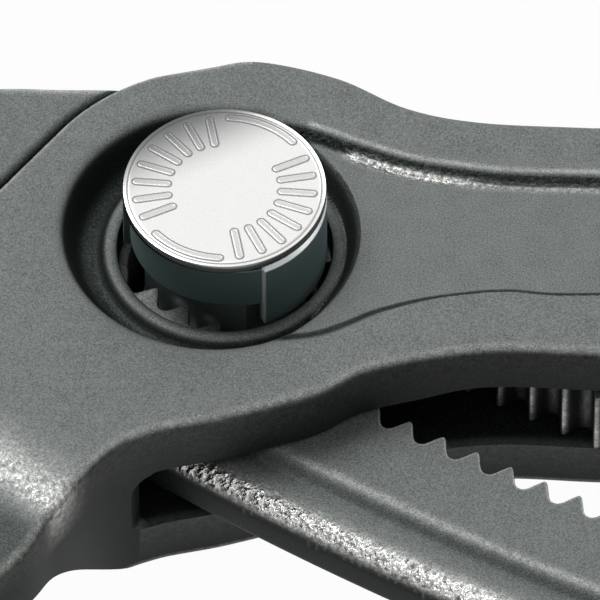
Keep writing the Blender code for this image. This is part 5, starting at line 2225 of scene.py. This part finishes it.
INLAY = Finish(
    "grip inlay, soft plastic",
    base=(0.028, 0.029, 0.033),
    side=(0.022, 0.023, 0.027),
    bright=(0.05, 0.05, 0.055),
    roughness=0.75,
    grain_scale=3200.0,
    grain=0.08,
    grain_depth=0.00003,
)


# ------------------------------------------------------------------ the part


@dataclass
class Pliers:
    """The whole part: every sub-assembly, dressed and tied to its body."""

    outer: OuterLeg = field(default_factory=OuterLeg)
    inner: InnerLeg = field(default_factory=InnerLeg)
    button: Button = field(default_factory=Button)
    bolt: Bolt = field(default_factory=Bolt)

    def build(self) -> None:
        """Builds every piece."""
        grain_group()
        patchy_mask_group()
        forged, blackened, steel = FORGED.make(), BLACKENED.make(), SPRING_STEEL.make()
        rear, shell, inlay = REAR_STEEL.make(), SHELL.make(), INLAY.make()
        self._tie(self.outer.build(), "outer_leg", "outer_leg", "forged_steel", forged)
        self._tie(self.inner.build(), "inner_leg", "inner_leg", "forged_steel", forged)
        plate = PlatedFinish().make()
        self._tie(self.button.build_cap(), "button_cap", "button", "nickel_plate", plate)
        self._tie(self.button.build_shaft(), "button_body", "button", "blackened_steel", blackened)
        self._tie(self.bolt.build(), "toothed_bolt", "bolt_carrier", "blackened_steel", blackened)
        spring = self.bolt.build_spring(steel)
        self._tie(spring, "return_spring", "bolt_carrier", "spring_steel", steel)
        self._tie(self.rear_cap(), "rear_cap", "outer_leg", "spring_steel", rear)
        self.carry_over("spring_washer", steel)
        grips = (
            (Grip("outer_grip", self.outer.spine(), self.outer.handle_end, 1), "outer_leg"),
            (Grip("inner_grip", self.inner.spine(), self.inner.handle_end, -1), "inner_leg"),
        )
        for grip, body in grips:
            self._tie(grip.build_sleeve(), grip.name, body, "grip_shell", shell)
            pad = grip.build_inlay(inlay)
            self._tie(pad, f"{grip.name}_inlay", body, "grip_inlay", inlay)

    @staticmethod
    def rear_cap() -> bpy.types.Object:
        """Builds the cap on the back, dished and chamfered, with the spring's post.

        Returns:
            The object that stands for the rear cap's node.
        """
        profile = [(0, 2.8), (1.1, 2.8), (1.3, 2.6), (1.3, 0.6), (6.9, 0.6), (7.1, 0.5)]
        profile += [(7.1, 0.12), (6.98, 0.0), (5.6, 0.0), (5.45, 0.12), (3.2, 0.16)]
        profile += [(3.0, 0.1), (2.6, 0.1), (2.4, 0.2), (0, 0.2)]
        return turned("rear_cap_disc", profile)

    @staticmethod
    def carry_over(node: str, finish: bpy.types.Material) -> None:
        """Gives a solid that stays as it is a new finish.

        Args:
            node: Name of the solid.
            finish: Its material.
        """
        solid = bpy.data.objects[node]
        solid.data.materials.clear()
        solid.data.materials.append(finish)

    @staticmethod
    def _tie(
        piece: bpy.types.Object, node: str, body: str, slot: str, finish: bpy.types.Material
    ) -> None:
        """Dresses a piece, ties it to its body and lets it stand for a solid.

        Args:
            piece: The piece.
            node: The solid that it stands for.
            body: The body that it rides on.
            slot: Name of a material slot; not used.
            finish: Its material.
        """
        if not piece.data.materials:
            piece.data.materials.append(finish)
        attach(piece, body)
        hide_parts(node)


# ------------------------------------------------------------------ studio


@dataclass
class Studio:
    """A pale floor, soft lamps and a long lens."""

    aim: tuple[float, float, float] = (5.4, -6.8, 15.6)
    lit: tuple[float, float, float] = (0.03, 0.0, 0.0)
    floor_gap: float = 0.02
    floor_white: float = 0.97
    elevation: float = 51.4
    distance: float = 900.0
    frame_width: float = 42.857
    sensor: float = 36.0
    floor_half: float = 1.5
    ambient: float = 0.12

    def build(self) -> None:
        """Sets up the camera, the floor, the lamps and the view transform."""
        self._camera()
        self._floor()
        self._world()
        self._lamp("key lamp", (-0.45, 0.32, 0.95), 0.6, 8.0)
        self._lamp("back lamp", (0.35, 0.8, 0.5), 0.5, 2.0)
        self._lamp("right lamp", (0.95, 0.05, 0.6), 0.5, 1.5)
        bpy.context.scene.view_settings.view_transform = "Standard"

    def _camera(self) -> None:
        """Places the camera."""
        lens = bpy.data.cameras.new("camera")
        lens.sensor_width = self.sensor
        lens.lens = self.sensor * self.distance / self.frame_width
        lens.clip_end = 20.0
        camera = bpy.data.objects.new("camera", lens)
        angle = math.radians(self.elevation)
        away = np.array([0.0, -math.cos(angle), math.sin(angle)]) * self.distance
        camera.location = (np.array(self.aim) + away) * MM
        camera.rotation_euler = (math.pi / 2 - angle, 0, 0)
        bpy.context.scene.collection.objects.link(camera)
        bpy.context.scene.camera = camera

    def _lamp(self, name: str, place: tuple, size: float, power: float) -> None:
        """Adds a soft square lamp that faces the part.

        Args:
            name: Name of the lamp.
            place: Its place in metres.
            size: Its side in metres.
            power: Its strength in watts.
        """
        lamp = bpy.data.lights.new(name, "AREA")
        lamp.size = size
        lamp.energy = power
        holder = bpy.data.objects.new(name, lamp)
        holder.location = place
        aim = Vector(self.lit) - holder.location
        holder.rotation_euler = aim.to_track_quat("-Z", "Y").to_euler()
        bpy.context.scene.collection.objects.link(holder)

    def _floor(self) -> None:
        """Lays the floor just under the part."""
        half = self.floor_half / MM
        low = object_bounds()[0][2] / MM - self.floor_gap
        points = [(-half, -half, low), (half, -half, low), (half, half, low), (-half, half, low)]
        floor = new_object("floor", mesh_from("floor", np.array(points), [[0, 1, 2, 3]]))
        material = bpy.data.materials.new("pale floor")
        build = empty_nodes(material)
        plain = build.add("ShaderNodeBsdfDiffuse", {"Color": (0.5, 0.5, 0.5, 1)})
        white = build.add("ShaderNodeEmission", {"Color": (1, 1, 1, 1), "Strength": 1.0})
        seen = self._seen(build)
        share = build.maths("MULTIPLY", seen, self.floor_white)
        mixed = build.add("ShaderNodeMixShader", {"Fac": share, 1: plain, 2: white})
        build.add("ShaderNodeOutputMaterial", {"Surface": mixed})
        floor.data.materials.append(material)
        floor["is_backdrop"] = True

    @staticmethod
    def _seen(build: Nodes) -> bpy.types.Node:
        """1 for camera, glossy and transmission rays, for which the background is white.

        Args:
            build: Helper of the tree.

        Returns:
            The node.
        """
        path = build.add("ShaderNodeLightPath")
        first = build.maths("ADD", (path, "Is Camera Ray"), (path, "Is Glossy Ray"))
        return build.maths("ADD", first, (path, "Is Transmission Ray"), clamp=True)

    def _world(self) -> None:
        """Sets a soft even light and a white background."""
        world = bpy.data.worlds.new("studio")
        build = empty_nodes(world)
        strength = build.maths("MULTIPLY_ADD", self._seen(build), 1 - self.ambient, self.ambient)
        light = build.add("ShaderNodeBackground", {"Color": (1, 1, 1, 1), "Strength": strength})
        build.add("ShaderNodeOutputWorld", {"Surface": light})
        bpy.context.scene.world = world


def main() -> None:
    """Dresses the part and sets the studio."""
    logging.basicConfig(level=logging.INFO)
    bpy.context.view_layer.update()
    Pliers().build()
    Studio().build()


if __name__ == "__main__":
    main()
